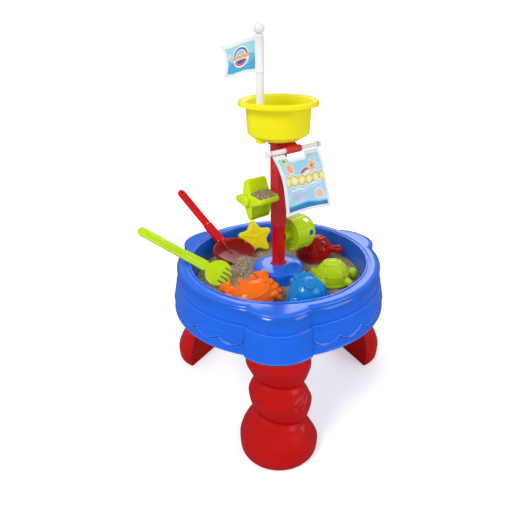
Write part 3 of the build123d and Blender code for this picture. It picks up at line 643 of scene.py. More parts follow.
def sail_print():
    """Beach picture; u runs across and v from 0 at the top hem to 1 at the bottom edge."""
    material, shader = new_material("sail_print")
    uv = coordinates("UV")
    u, v, _ = separate(uv)
    aspect = 101.0 / 90.0
    cloud = noise(uv, scale=4.0, detail=3.0)
    art = Artwork(mix(v.ramp(gain=1.0, offset=0.0), srgb(150, 208, 240), srgb(176, 222, 246)))
    art.ink(cloud.ramp(gain=4.0, offset=-1.9) * 0.7, 222, 242, 252)
    # orange sun and a green dot, upper left
    art.discs(distance(u, v, 0.215, 0.25, 1, aspect * 0.8), 0.01,
              (0.078, (252, 214, 190)), (0.058, (250, 164, 104)))
    art.discs(distance(u, v, 0.165, 0.115, 1, aspect), 0.012,
              (0.062, (206, 226, 170)), (0.030, (120, 160, 90)))
    # three concentric arcs: radius, half width, colour
    away = distance(u, v, 0.63, 0.50, 1, aspect)
    window = v.below(0.42, soft=0.02) * u.above(0.30, soft=0.02) * u.below(0.68, soft=0.02)
    for radius, half, rgb in ((0.27, 0.022, (204, 40, 60)), (0.235, 0.014, (170, 220, 190)),
                              (0.205, 0.014, (236, 242, 200))):
        art.ink((away - radius).abs().below(half, soft=0.008) * window, *rgb)
    # starfish: the radius is divided by a five-lobed wave
    star_u, star_v = u - 0.71, (v - 0.27) * aspect
    angle = Value.math("ARCTAN2", star_v, star_u)
    radius = (star_u * star_u + star_v * star_v).sqrt()
    star = radius / (Value.math("COSINE", angle * 5.0 + 1.57) * 0.35 + 0.75)
    art.discs(star, 0.012, (0.115, (255, 255, 255)), (0.098, (250, 170, 80)))
    art.discs(radius, 0.01, (0.022, (214, 90, 50)))
    # ribbon of six scallops: reach, edge softness, colour
    tilt = v - 0.455 + (u - 0.5) * 0.01
    local = (u * 6.0).fract() - 0.5
    puff = (u * 6.0 - local).sin() * 0.012
    away = ((local * 0.1667) * (local * 0.1667)
            + (tilt + puff) * (tilt + puff) * (aspect * aspect * 0.9)).sqrt() + (u - 0.2) * 0.02
    span = u.above(0.09, soft=0.01) * u.below(0.93, soft=0.01)
    for reach, soft, rgb in ((0.122, 0.010, (250, 252, 250)), (0.106, 0.008, (150, 160, 118)),
                             (0.091, 0.010, (238, 226, 128)), (0.050, 0.020, (250, 246, 190))):
        art.ink(away.below(reach, soft) * span, *rgb)
    # two wavy crests under the ribbon
    wave = (u * 25.0).sin() * 0.012 + (u * 9.0 + 1.0).sin() * 0.02
    for crest, rgb in ((0.575, (244, 252, 255)), (0.625, (206, 236, 250))):
        line = (v - crest + wave + (u - 0.5) * 0.10).abs()
        art.ink(line.below(0.011, soft=0.008) * u.above(0.14, soft=0.05)
                * u.below(0.86, soft=0.05), *rgb)
    # lilac bubbles, lower left: centre u, v, radius
    for bubble_u, bubble_v, radius in ((0.22, 0.70, 0.07), (0.33, 0.67, 0.06), (0.42, 0.73, 0.06),
                                       (0.30, 0.75, 0.06), (0.50, 0.69, 0.035)):
        away = distance(u, v, bubble_u, bubble_v, 1, aspect)
        art.ink(away.below(radius, soft=0.04) * 0.6, 188, 190, 232)
    # round badge, lower right: a ribbed shell fan in a ring
    away = distance(u, v, 0.775, 0.75, 1, aspect)
    art.discs(away, 0.01, (0.105, (250, 250, 252)), (0.088, (226, 196, 206)))
    rib = (Value.math("ARCTAN2", (v - 0.79) * aspect, u - 0.775) * 14.0).sin().abs()
    art.discs(away, 0.01, (0.070, (250, 214, 170)))
    art.ink(away.below(0.070, soft=0.01) * rib.below(0.3, soft=0.2), 216, 140, 110)
    # sea along the bottom: light water, deep water, a pale shoreline
    sea = v - 0.855 - (u * 10.0).sin() * 0.012 - (u - 0.5) * 0.03
    art.ink(sea.above(0.0, soft=0.01), 20, 150, 205)
    art.ink((sea - 0.035 - (u * 17.0 + 2.0).sin() * 0.01).above(0.0, soft=0.02), 30, 120, 190)
    art.ink(sea.abs().below(0.010, soft=0.008), 120, 205, 235)
    # white border
    edge = (u.min(1.0 - u) * 1.0).min((v - 0.02).min(1.0 - v) * aspect)
    art.ink(edge.below(0.058, soft=0.008), 240, 242, 246)
    weave = cloth(shader, uv, art.colour, threads_u=110, threads_v=125)
    creases = noise(uv, scale=5.0, detail=3.0, distortion=0.4)
    feed(shader, {"Normal": bumped(creases, strength=0.25, distance=0.002, normal=weave)})
    return material


def flag_print():
    """Boat emblem; u runs from 0 at the pole to 1 at the fly, v from 0 at the bottom to 1."""
    material, shader = new_material("flag_print")
    uv = coordinates("UV")
    u, v, _ = separate(uv)
    art = Artwork(mix(0.0, srgb(160, 216, 232), srgb(160, 216, 232)))
    # two waves: level, frequency, phase, colour
    for height, frequency, phase, rgb in ((0.50, 7.0, 0.6, (98, 188, 226)),
                                          (0.36, 8.0, 2.4, (74, 170, 218))):
        wave = v - height - (u * frequency + phase).sin() * 0.08
        art.ink(wave.below(0.0, soft=0.02), *rgb)
    # small bubble near the fly
    art.discs(distance(u, v, 0.80, 0.66, 1, 0.95), 0.02, (0.06, (206, 236, 240)))
    # emblem: white disc, upper ring, sky cap, orange wave, hull, lower ring
    away = distance(u, v, 0.43, 0.53, 0.94, 0.76)
    art.discs(away, 0.015, (0.235, (250, 250, 252)))
    rise = v - 0.53
    art.ink((away - 0.19).abs().below(0.022, soft=0.012) * rise.above(0.06, soft=0.02),
            92, 84, 132)
    art.ink(away.below(0.15, soft=0.012) * rise.above(0.06, soft=0.02), 150, 200, 240)
    middle = (rise - 0.0 - (u * 40.0).sin() * 0.012).abs()
    art.ink(away.below(0.245, soft=0.012) * middle.below(0.055, soft=0.015), 240, 172, 96)
    art.ink(away.below(0.16, soft=0.012) * rise.below(-0.08, soft=0.02), 84, 70, 150)
    art.ink((away - 0.185).abs().below(0.02, soft=0.012) * rise.below(-0.10, soft=0.02),
            206, 70, 66)
    # white border on the three free edges
    edge = ((1.0 - u) * 1.0).min(v.min(1.0 - v) * 1.0)
    art.ink(edge.below(0.10, soft=0.012), 236, 239, 245)
    cloth(shader, uv, art.colour, threads_u=72, threads_v=72)
    return material


SAIL_PRINT = sail_print()
FLAG_PRINT = flag_print()

# ---------------------------------------------------------------- basin
# Outer wall in two bands. Each size is given at the band's bottom and top: round wall radius,
# then the lobes' half width, root and reach from the axis.
LOWER_BAND = {"z": (196.0, 246.2), "sizes": ((195.0, 189.5), (54.0, 52.0), (191.5, 185.5),
                                             (214.0, 209.5))}
UPPER_BAND = {"z": (246.2, 279.0), "sizes": ((187.2, 181.5), (51.2, 49.5), (183.5, 178.5),
                                             (207.5, 202.0))}
LOBE_ANGLES = (0, 120, 240)            # turned from the front, -Y
LOBE_FILLET, LOBE_CORNER = 2.0, 3.0
WALL_STEPS, LOBE_STEPS, CORNER_STEPS = 150, 24, 4
RIM_INNER = 171.5
# heights of the wall rings with their outward offsets
SKIRT = ((246.0, -3.0), (222.0, -3.0), (199.5, -3.0), (196.8, -2.6), (196.0, -1.6),
         (196.0, -0.2), (196.4, 0.6), (197.2, 1.0), (198.2, 0.9), (198.9, 0.4), (199.6, 0.05),
         (200.8, 0), (202.0, 0))
WAVE_HEIGHTS = np.arange(203.0, 230.1, 0.75)
STEP_EDGE = ((232.0, 0), (235.0, 0), (238.5, 0), (242.0, 0), (244.8, 0), (245.3, 0.0),
             (245.9, -0.1), (246.25, -0.4), (246.45, -1.0))
UPPER_WALL = ((246.6, 0.6), (246.8, -0.5), (247.2, -1.1), (247.8, -1.2), (248.4, -1.15),
              (249.2, -1.0), (250.2, -0.9), (251.0, -0.8),
              (252.0, -0.6), (253.5, -0.6), (257.0, -0.6), (261.0, -0.6), (265.0, -0.6),
              (267.2, -0.6), (268.2, -0.6), (268.8, -0.6), (269.2, -0.6), (269.5, -0.6))
RIM = ((269.9, -0.8), (270.2, -1.3), (270.5, -1.7), (270.8, -1.75), (271.1, -1.4),
       (271.35, -0.8), (271.7, -0.1), (272.4, 0.15), (273.1, 0.2), (274.2, 0.2), (275.3, 0.1),
       (276.3, -0.2), (277.1, -0.75), (277.7, -1.45), (278.2, -2.35), (278.6, -3.5),
       (278.85, -4.9), (279.0, -6.8))
# radius, z, rounding: from the rim down the well and up the hollow centre
WELL = ((RIM_INNER, 279.0), (168.6, 279.0, 0.8), (168.0, 277.4, 0.8), (164.4, 277.2, 1.2),
        (163.9, 279.2, 1.0), (161.2, 279.2, 1.2), (160.4, 275.6, 2.0), (157.2, 252.0),
        (153.9, 230.0), (151.2, 214.5, 3.5), (144.0, 212.0), (120.0, 212.0), (80.0, 212.0),
        (50.8, 212.0, 3.0), (49.6, 216.0), (48.6, 240.0), (48.0, 256.0, 4.0), (46.2, 262.4, 3.0),
        (41.0, 265.2, 3.0), (30.0, 266.6, 2.0), (18.0, 267.2, 1.0), (11.0, 267.2))
# radius, z of the round underside
UNDERSIDE = ((164.0, 273.0), (160.4, 252.0), (157.0, 230.0), (154.2, 211.0), (150.0, 209.0),
             (100.0, 209.0), (47.5, 209.0), (45.6, 240.0), (44.4, 261.0), (41.0, 264.0),
             (11.0, 264.0))


def lobed_outline(wall, half_width, root, reach):
    """Round wall with three lobes, each joined by a concave fillet and a rounded corner."""
    depth = reach - root
    nose_radius = (half_width ** 2 + depth ** 2) / (2 * depth)
    nose = np.array([0, nose_radius - reach])
    fillet_x = half_width + LOBE_FILLET
    fillet = np.array([-fillet_x, -math.sqrt((wall + LOBE_FILLET) ** 2 - fillet_x ** 2)])
    on_wall = fillet * wall / (wall + LOBE_FILLET)
    corner_x, inner_radius = half_width - LOBE_CORNER, nose_radius - LOBE_CORNER
    corner = np.array([-corner_x, nose[1] - math.sqrt(inner_radius ** 2 - corner_x ** 2)])
    on_nose = nose + (corner - nose) * nose_radius / inner_radius

    def bearing(point, centre):
        return math.atan2(point[1] - centre[1], point[0] - centre[0])

    angles = np.linspace(-math.pi / 3, math.atan2(on_wall[0], -on_wall[1]), WALL_STEPS,
                         endpoint=False)
    start = bearing(on_wall, fillet)
    end = bearing(on_nose, corner)
    nose_start = bearing(on_nose, nose)
    half = np.vstack([
        wall * np.c_[np.sin(angles), -np.cos(angles)],
        arc(fillet, LOBE_FILLET, start, sweep_between(start, 0), CORNER_STEPS),
        arc(corner, LOBE_CORNER, math.pi, sweep_between(math.pi, end), CORNER_STEPS),
        arc(nose, nose_radius, nose_start, -math.pi / 2 - nose_start, LOBE_STEPS)[1:]])
    # the mirrored half stops short of the next sector's first point
    sector = np.vstack([half, half[1:-1][::-1] * np.array([-1, 1])])
    return np.vstack([spin(sector, angle) for angle in LOBE_ANGLES])


def press_wave(wall):
    """Hanging-arc wave between the lobes: proud above the line, with a groove along it."""
    mm_per_degree = 3.35
    start, width, height = 15.6, 14.8, 9.5        # degrees, degrees, mm
    bearing = np.degrees(np.arctan2(wall[:, 0], -wall[:, 1]))
    local = np.abs((bearing + 60) % 120 - 60)
    share = np.clip((local - start) / width, 0, None) % 1.0
    line = (219.5 - height * np.sin(np.pi * share) ** 0.8
            + 5.0 * np.exp(-np.clip(local - 16.0, 0, None) / 2.5))
    slope = np.pi * height * np.abs(np.cos(np.pi * share)) / (width * mm_per_degree)
    away = (wall[:, 2] - line) / np.sqrt(1 + slope ** 2)
    top_fade = np.clip((246.0 - wall[:, 2]) / 14.0, 0, 1)
    relief = (1.2 * np.clip(away / 1.0 + 0.5, 0, 1) * top_fade
              + 1.6 * bell(away - 1.1, 1.1) - 2.0 * bell(away + 1.1, 1.1))
    relief = relief * np.clip((local - 16.6) / 0.8, 0, 1)
    outwards = wall[:, :2] / np.linalg.norm(wall[:, :2], axis=1)[:, None]
    wall[:, :2] += outwards * relief[:, None]


def bearings(ring):
    """The ring's plane outline and the unit circle at the same bearings."""
    outline = ring[:, :2]
    angles = np.arctan2(outline[:, 1], outline[:, 0])
    return outline, np.c_[np.cos(angles), np.sin(angles)]


def basin():
    rings = []

    def add_wall(wall_band, stations):
        low, high = wall_band["z"]
        for z, offset in stations:
            share = (z - low) / (high - low)
            sizes = [a + (b - a) * share + offset for a, b in wall_band["sizes"]]
            rings.append(level(lobed_outline(*sizes), z))

    add_wall(LOWER_BAND, SKIRT)
    wave_start = len(rings)
    add_wall(LOWER_BAND, [(z, 0) for z in WAVE_HEIGHTS])
    wave_end = len(rings)
    add_wall(LOWER_BAND, STEP_EDGE)
    add_wall(UPPER_BAND, UPPER_WALL + RIM)
    # the rim's flat top eases from the lobed outline to a circle
    outline, round_one = bearings(rings[-1])
    for share in (0.35, 0.7):
        rings.append(level(outline * (1 - share) + round_one * RIM_INNER * share, 279.0))
    for radius, z in fill(path(WELL, density=4), 9.0)[1:]:
        rings.append(level(round_one * radius, z))
    vertices, faces = loft(rings)
    count = len(outline)
    press_wave(vertices[wave_start * count:wave_end * count])
    # underside, from the inner skirt back to the centre hole
    outline, round_one = bearings(rings[0])
    under = [level(outline * (1 - share) + round_one * 166.0 * share, z)
             for share, z in ((0.0, 262.0), (0.0, 274.5), (0.25, 276.0), (1.0, 276.0))]
    under += [level(round_one * radius, z) for radius, z in UNDERSIDE]
    base = len(vertices)
    last = base + (len(under) - 1) * count
    for start in range(base, last, count):
        faces += band(start, start + count, count, flip=True)
    faces += band(0, base, count, flip=True)
    faces += band(last, base - count, count, flip=True)
    add_solid("basin_shell", np.vstack([vertices] + under), faces, "table", BLUE, "basin_blue",
              "basin")


basin()

# ---------------------------------------------------------------- legs
# height, half width, depth, sideways shift, tilt in degrees
LEG = np.array([
    (0.0, 61.5, 60.0, 0.5, 0.0), (6.0, 64.8, 64.0, 0.5, 1.0), (26.0, 66.5, 66.3, 0.5, 4.0),
    (50.0, 61.5, 59.0, 1.0, 9.0), (70.0, 52.0, 46.5, 1.5, 13.0), (79.5, 47.2, 41.0, 2.0, 14.0),
    (88.0, 50.2, 42.8, 2.5, 13.0), (112.0, 54.0, 46.0, 3.0, 11.0), (134.0, 46.8, 35.5, 1.5, 9.5),
    (143.5, 42.6, 30.5, 1.0, 9.0), (153.0, 46.2, 32.5, 0.5, 8.0), (178.0, 53.6, 37.5, 0.0, 3.0),
    (193.0, 51.5, 35.2, 0.0, 0.0)])
LEG_HEIGHTS = np.concatenate([[0.0, 1.2, 3.0], np.linspace(5.0, 193.0, 140)])
GROOVES = (79.5, 143.5)
# height, half width, depth: the neck inside the lobe, and the hollow in the foot
LEG_NECK = ((193.0, 46.0, 27.0), (193.0, 41.2, 20.2), (196.0, 41.0, 20.0), (274.5, 41.0, 20.0),
            (276.0, 39.5, 18.5))
LEG_HOLLOW = ((70.0, 39.0, 34.0), (30.0, 57.0, 52.0), (2.0, 57.6, 52.6), (0.0, 58.0, 54.0))
# scooped facets on the +x shoulder: centre x, top z, half width, height, depth
FACETS = ((37.5, 122.0, 13.0, 23.0, 5.0), (40.0, 70.0, 9.5, 15.0, 3.5))
LEG_BACK = 176.6                       # the legs' flat backs, from the basin's axis


def half_oval(half_width, depth):
    """Closed outline: flat along y = 0, bulging to -y, with softened corners."""
    angles = np.linspace(math.pi + 0.035, 2 * math.pi - 0.035, 120)
    bulge = np.c_[half_width * np.cos(angles), depth * np.sin(angles)]
    right = np.array([half_width - 2.4, 0.0])

    def curve(start, control, end, shares):
        t = shares[:, None]
        return (1 - t) ** 2 * start + 2 * t * (1 - t) * control + t * t * end

    shares = np.linspace(0, 1, 7)
    tip = np.array([half_width, 0.0])
    flat = right - 2 * right * np.linspace(0, 1, 14)[1:-1, None]
    return np.vstack([bulge, curve(bulge[-1], tip, right, shares[1:]), flat,
                      curve(-right, -tip, bulge[0], shares[:-1])])


def leg_rings():
    rings = []
    columns = [monotone(LEG[:, 0], LEG[:, k], LEG_HEIGHTS) for k in (1, 2, 3, 4)]
    for height, half_width, depth, shift, tilt in zip(LEG_HEIGHTS, *columns):
        # creases at the grooves, the foot edge turned under, the foot flared
        grow = 1.6 * max(0.0, 1 - height / 60.0) - 0.7 * max(0.0, 1 - height / 2.0) ** 2
        grow -= sum(1.9 * math.exp(-abs(height - groove) / 2.4) for groove in GROOVES)
        outline = half_oval(half_width + grow, depth + grow)
        tilt = math.radians(tilt)
        z = np.maximum(height - outline[:, 0] * math.sin(tilt), 0.0)
        rings.append(np.c_[outline[:, 0] * math.cos(tilt) + shift, outline[:, 1], z])
    points = np.vstack(rings)
    for centre, top, half_width, height, depth in FACETS:
        aside = points[:, 0] - centre
        # 0 at the slanting top edge, 1 at the lower point
        fall = (top - points[:, 2] + 0.45 * aside) / height
        reach = half_width * np.clip(1 - fall, 0, 1) + 0.5
        pit = (np.clip(fall * 7, 0, 1) * np.clip(1 - fall, 0, 1) ** 0.8
               * np.clip((reach - np.abs(aside)) / 2.5, 0, 1))
        lip = (0.8 * bell(fall + 0.05, 0.06)
               * np.clip((half_width - np.abs(aside)) / 4.0, 0, 1))
        normal = np.c_[points[:, 0] / 52 ** 2, points[:, 1] / 45 ** 2, np.zeros(len(points))]
        normal /= np.linalg.norm(normal, axis=1)[:, None] + 1e-9
        points = points - normal * ((depth * pit - lip) * (points[:, 1] < -4))[:, None]
    hollow = [level(half_oval(half_width, depth) + (0.5, -3.0), height)
              for height, half_width, depth in LEG_HOLLOW]
    neck = [level(half_oval(half_width, depth), height)
            for height, half_width, depth in LEG_NECK]
    return hollow + list(points.reshape(len(rings), -1, 3)) + neck


def leg(name, angle):
    rings = leg_rings()
    vertices, faces = loft(rings)
    low_centre, high_centre = len(vertices), len(vertices) + 1
    count = len(rings[0])
    last = low_centre - count
    faces += [(low_centre, (i + 1) % count, i) for i in range(count)]
    faces += [(high_centre, last + i, last + (i + 1) % count) for i in range(count)]
    vertices = np.vstack([vertices, rings[0].mean(0), rings[-1].mean(0)])
    vertices = spin(vertices - (0, LEG_BACK, 0), angle)
    add_solid(name, vertices, faces, "table", RED_LEG, "leg_red", name)


for leg_name, leg_angle in zip(("leg_front", "leg_rear_right", "leg_rear_left"), LOBE_ANGLES):
    leg(leg_name, leg_angle)

# ---------------------------------------------------------------- bowl
# radius, z, rounding: out along the underside, round the rim and back inside
BOWL = ((0.02, 501.0), (38.0, 501.0, 3.0), (51.6, 509.0, 5.0), (52.6, 520.0, 6.0), (54.0, 550.0),
        (54.2, 554.6, 2.5), (57.4, 558.6, 1.6), (58.4, 559.0, 0.6), (58.8, 557.6, 0.5),
        (64.6, 557.8, 0.8), (65.4, 556.2, 0.4), (66.8, 556.2, 0.5), (66.2, 562.0, 1.5),
        (63.8, 564.6, 1.8), (61.4, 564.2, 0.8), (60.0, 562.8, 0.8), (57.2, 562.4, 1.6),
        (53.4, 559.6, 2.5), (51.8, 554.0, 3.0), (50.2, 517.0, 5.0), (47.6, 509.6, 5.0),
        (36.6, 503.6, 3.0), (0.02, 503.4))
# spout under the floor and the pole's seat above it
SPOUT = ((4.6, 498.5), (7.6, 498.5, 0.8), (8.6, 500.0, 0.8), (8.9, 506.0), (8.8, 513.6, 0.4),
         (8.2, 515.0, 0.8), (6.9, 515.0, 0.5), (6.5, 513.5), (6.5, 508.4, 0.3), (4.6, 508.2, 0.3))


def bowl():
    vertices, faces = turn(fill(path(BOWL), 6.0), 144, close=False)
    add_solid("bowl_shell", vertices, faces, "table", YELLOW, "bowl_yellow", "bowl")
    vertices, faces = turn(path(SPOUT, closed=True, density=4), 48, close=True)
    add_solid("bowl_spout", vertices + POLE, faces, "table", YELLOW, "bowl_yellow")


bowl()


# ---------------------------------------------------------------- flag and sail
def add_sheet(name, grid, thickness, uv, body, material, slot, replaced):
    """A sheet of the given thickness about a grid of points (rows, columns, 3)."""
    rows, columns, _ = grid.shape
    normal = np.cross(np.gradient(grid, axis=1), np.gradient(grid, axis=0))
    normal /= np.linalg.norm(normal, axis=2)[..., None] + 1e-12
    sides = [(grid + normal * offset).reshape(-1, 3) for offset in (thickness / 2, -thickness / 2)]
    other = rows * columns
    faces = []
    for row in range(rows - 1):
        for column in range(columns - 1):
            a = row * columns + column
            b, c, d = a + 1, a + columns + 1, a + columns
            faces.append((a, b, c, d))
            faces.append((other + d, other + c, other + b, other + a))
    last = (rows - 1) * columns
    edge = (list(range(columns - 1)) + list(range(columns - 1, other - 1, columns))
            + list(range(other - 1, last, -1)) + list(range(last, 0, -columns)))
    for here, ahead in zip(edge, edge[1:] + edge[:1]):
        faces.append((ahead, here, other + here, other + ahead))
    uv = uv.reshape(-1, 2)
    add_solid(name, np.vstack(sides), faces, body, material, slot, replaced,
              uv=np.vstack([uv, uv]), sharp=50)


# radius, z, rounding: the sleeve on the pole, with a bead at each end
SLEEVE = ((6.35, 608.2), (7.0, 608.0, 0.2), (7.25, 608.6, 0.2), (7.25, 610.0), (7.05, 610.4),
          (7.05, 658.6), (7.25, 659.0), (7.25, 660.4, 0.2), (7.0, 661.0, 0.2), (6.35, 660.8))


def flag():
    """Rippled flag flying from the pole to -X."""
    u, v = np.meshgrid(np.linspace(0, 1, 64), np.linspace(0, 1, 44))
    x = -6.4 - 53.4 * u
    # hollow fly edge
    x += (7.0 * (1 - (2 * v - 1) ** 2) + 3.0 * (1 - v)) * u ** 3
    wave = (3.3 * np.sin(u * 5.6 + 0.5) * (0.25 + 0.75 * u) - 1.0 * u
            + 0.9 * np.sin(9 * u + 3 * v) * u)
    top = np.interp(u, (0, 0.25, 0.5, 0.72, 0.88, 1.0), (659.8, 656.8, 652.0, 647.4, 645.6, 646.4))
    bottom = np.interp(u, (0, 0.3, 0.5, 0.7, 0.88, 1.0), (608.8, 607.0, 603.8, 600.6, 600.2, 600.8))
    grid = np.stack([POLE[0] + x, POLE[1] - 0.2 - wave, bottom + (top - bottom) * v], axis=2)
    for _ in range(6):
        grid[:, 1:-1] = (grid[:, :-2] + 2 * grid[:, 1:-1] + grid[:, 2:]) / 4
    add_sheet("flag_sheet", grid, 1.0, np.stack([u, v], axis=2), "banner", FLAG_PRINT,
              "flag_print", "flag")
    vertices, faces = turn(path(SLEEVE, closed=True, density=3), 40, close=True)
    add_solid("flag_sleeve", vertices + POLE, faces, "banner", WHITE, "flag_print")


flag()

ROD_ACROSS, ROD_HEIGHT = 35.0, 488.0
SAIL_LEFT, SAIL_RIGHT = -46.0, 54.0
# the sail's side profile from the rod: out across, down
SAIL_PROFILE = np.array([(3.6, 4.4), (9.0, 11.0), (15.5, 19.5), (21.0, 30.0), (25.6, 42.0),
                         (30.4, 60.0), (34.6, 78.0), (39.6, 98.0)])


def sail():
    """Printed sheet hanging from the rod, bellied out at the bottom, drawn in at its sides."""
    u, v = np.meshgrid(np.linspace(0, 1, 60), np.linspace(0, 1, 64))
    lengths = np.linalg.norm(np.diff(SAIL_PROFILE, axis=0), axis=1)
    travel = np.concatenate([[0], np.cumsum(lengths)])
    travel /= travel[-1]
    side = 2 * u - 1                   # -1 at the left edge, 1 at the right
    along = SAIL_LEFT + (SAIL_RIGHT - SAIL_LEFT) * u
    along -= side * 2.0 * np.sin(math.pi * np.minimum(1.0, v * 1.05)) ** 2
    out = (monotone(travel, SAIL_PROFILE[:, 0], v) + 1.6 * (1 - side ** 2) * np.sin(math.pi * v)
           - 1.5 * v * np.cos(2.4 * side) + 0.5 * np.sin(5 * u + 4 * v) * v)
    down = (monotone(travel, SAIL_PROFILE[:, 1], v) - 1.8 * v * v * (1 - side ** 2)
            + 0.3 * np.sin(7 * u) * v + 2.5 * side * v)
    # the top edge dips in the gap between the hems
    dip = 8.0 * np.clip((22 - np.abs(along)) / 4.0, 0, 1) * (1 - v) ** 3
    grid = at(along, ROD_ACROSS + out + dip * 0.75, ROD_HEIGHT - down - dip)
    add_sheet("sail_sheet", grid, 0.9, np.stack([u, v], axis=2), "sail_set", SAIL_PRINT,
              "sail_print", "sail")
    # hem tubes round the rod, either side of the gap
    for name, start, end in (("left", SAIL_LEFT, -18.6), ("right", 18.6, SAIL_RIGHT)):
        rings = []
        for along, radius in ((start, 3.1), (start, 4.0), (start + 0.8, 4.3), (start + 3, 4.15),
                              (end - 3, 4.15), (end - 0.8, 4.3), (end, 4.0), (end, 3.1)):
            across, height = radius * circle(28).T
            rings.append(at(along, ROD_ACROSS + across, ROD_HEIGHT + height))
        vertices, faces = loft(rings, close=True)
        add_solid("sail_hem_" + name, vertices, faces, "sail_set", WHITE, "sail_print")


sail()

# ---------------------------------------------------------------- scoop wheel
# Local x runs along the axle, z up, and y is -ACROSS.
CUP_LEAN = 12.0
SCOOP_AXES = Axes(at(-48.25, 0, 405.5), ALONG, UP)


def cup_back(outwards):
    """Distance of a cup's back plate from its centre plane."""
    return 12.2 - 0.19 * np.clip(outwards - 8, 0, 30)


def scoop_wheel(xyz):
    """Four tapered cups round a bored hub."""
    x, y, z = xyz
    across = -y
    blocks, hollows = [], []
    for k in range(4):
        angle = math.radians(90 + CUP_LEAN + 90 * k)
        cosine, sine = math.cos(angle), math.sin(angle)
        outwards = across * cosine + z * sine
        towards = -across * sine + z * cosine          # to the cup's mouth
        side = 22.6 - 0.05 * np.clip(outwards - 8, 0, 30)
        back = cup_back(outwards)
        mouth = 10.5 - 0.36 * np.clip(outwards - 14, 0, 22)
        spot = (x, towards, outwards)
        blocks.append(round_box(spot, (0, (mouth - back) / 2, 20.0),
                                (side, (mouth + back) / 2, 15.3), 4.6))
        back, mouth = back - 2.3, mouth + 12.0
        hollows.append(round_box(spot, (0, (mouth - back) / 2, 21.7),
                                 (side - 2.2, (mouth + back) / 2, 11.3), 2.0))
    cups = reduce(lambda a, b: union(a, b, 2.0), blocks)
    radius = np.sqrt(across * across + z * z)
    hub = common(radius - 9.4, np.abs(x + 2.6) - 25.4, 1.4)
    wheel = carve(union(cups, hub, 1.5), reduce(np.minimum, hollows), 0.9)
    return carve(wheel, np.maximum(radius - 4.3, -(x + 25.6)), 0.4)


def caught_sand(xyz):
    """Sand heaped in the cup that opens upwards."""
    x, y, z = xyz
    across = -y
    lean = math.radians(CUP_LEAN)
    outwards = across * math.cos(lean) + z * math.sin(lean)
    rise = -across * math.sin(lean) + z * math.cos(lean)
    top = (13.5 - 0.022 * (outwards - 9) ** 2 - 0.006 * x * x
           + 0.7 * np.sin(0.9 * x + 0.5 * outwards) * np.sin(0.6 * outwards)
           + 0.35 * np.sin(2.1 * x) * np.sin(1.7 * outwards + 1))
    box = round_box((x, outwards, rise), (0, 20.0, 4.0), (20.2, 12.0, 13.6), 2.0)
    return np.maximum(common(box, (rise - top) * 0.85, 1.0),
                      -(rise + cup_back(outwards) - 0.3))


add_mesh("scoop_wheel", *surface_net(scoop_wheel, (-29.5, -39, -39), (24.5, 39, 39), 0.95),
         "scoop_wheel", LIME, "wheel_lime", "bucket_wheel", SCOOP_AXES)
add_mesh("caught_sand", *surface_net(caught_sand, (-22, -36, -16), (22, -4, 24), 0.9),
         "scoop_wheel", SAND, "sand", axes=SCOOP_AXES)

# ---------------------------------------------------------------- drum
DRUM_NEAR, DRUM_FAR = 22.6, 71.0       # ends along the arm, from the tower
SLEEVE_START = 11.2
HOLE_PITCH = 2 * math.pi / 7


def drum(xyz):
    """Drum with a dished near end, seven rimmed holes, low ribs and a rounded far end."""
    x, y, z = xyz
    across = -y
    radius = np.sqrt(across * across + z * z)
    skin = 32.0 - 8.0 * np.clip((x - 56.0) / (DRUM_FAR - 56.0), 0, 1.2) ** 2.2
    solid = common(common(radius - skin, x - DRUM_FAR, 1.6), DRUM_NEAR - x, 1.0)
    cavity = common(radius - (skin - 2.2), (DRUM_NEAR + 7.6) - x, 1.2)
    shape = carve(solid, cavity, 0.6)
    # the near end: a rolled outer rim, a dished floor and a raised ring
    dish = np.maximum(radius - 27.0, x - (DRUM_NEAR + 5.2 - 2.6 * bell(radius - 17.5, 3.4)))
    shape = carve(shape, dish, 1.2)
    hub = common(radius - 8.4, np.abs(x - (DRUM_NEAR + 27.6)) - 28.8, 0.8)
    floor_end = DRUM_NEAR + 6
    sleeve = common(radius - 9.4, np.abs(x - (SLEEVE_START + floor_end) / 2)
                    - (floor_end - SLEEVE_START) / 2, 0.8)
    shape = union(union(shape, hub, 1.6), sleeve, 1.6)
    angle = np.arctan2(z, across) - math.radians(9)
    around = ((angle + HOLE_PITCH / 2) % HOLE_PITCH - HOLE_PITCH / 2) * 32.0
    from_hole = np.sqrt((around * 0.985) ** 2 + (x - 54.0) ** 2)
    shape = shape - 0.9 * bell(from_hole - 7.3, 1.1) * (radius > 24)
    hole = np.maximum(from_hole - 5.7, 15.0 - radius)
    shape = np.where(radius > 15, carve(shape, hole, 0.7), shape)
    # ribs midway between the holes
    between = angle % HOLE_PITCH - HOLE_PITCH / 2
    rib = np.maximum(np.abs(between) * 32.0 - 1.0, np.abs(x - (DRUM_NEAR + 19.5)) - 17.0)
    shape = union(shape, common(rib, np.abs(radius - 31.4) - 1.5, 0.5), 0.8)
    # bore, wider at the near end
    return carve(shape, np.where(x < 20.4, radius - 7.75, radius - 4.3), 0.3)


add_mesh("drum_wheel_shell", *surface_net(drum, (9.5, -35, -35), (DRUM_FAR + 2, 35, 35), 1.0),
         "drum", LIME_DRUM, "drum_lime", "drum_wheel", Axes(at(0, 0, 317.0), ALONG, UP))


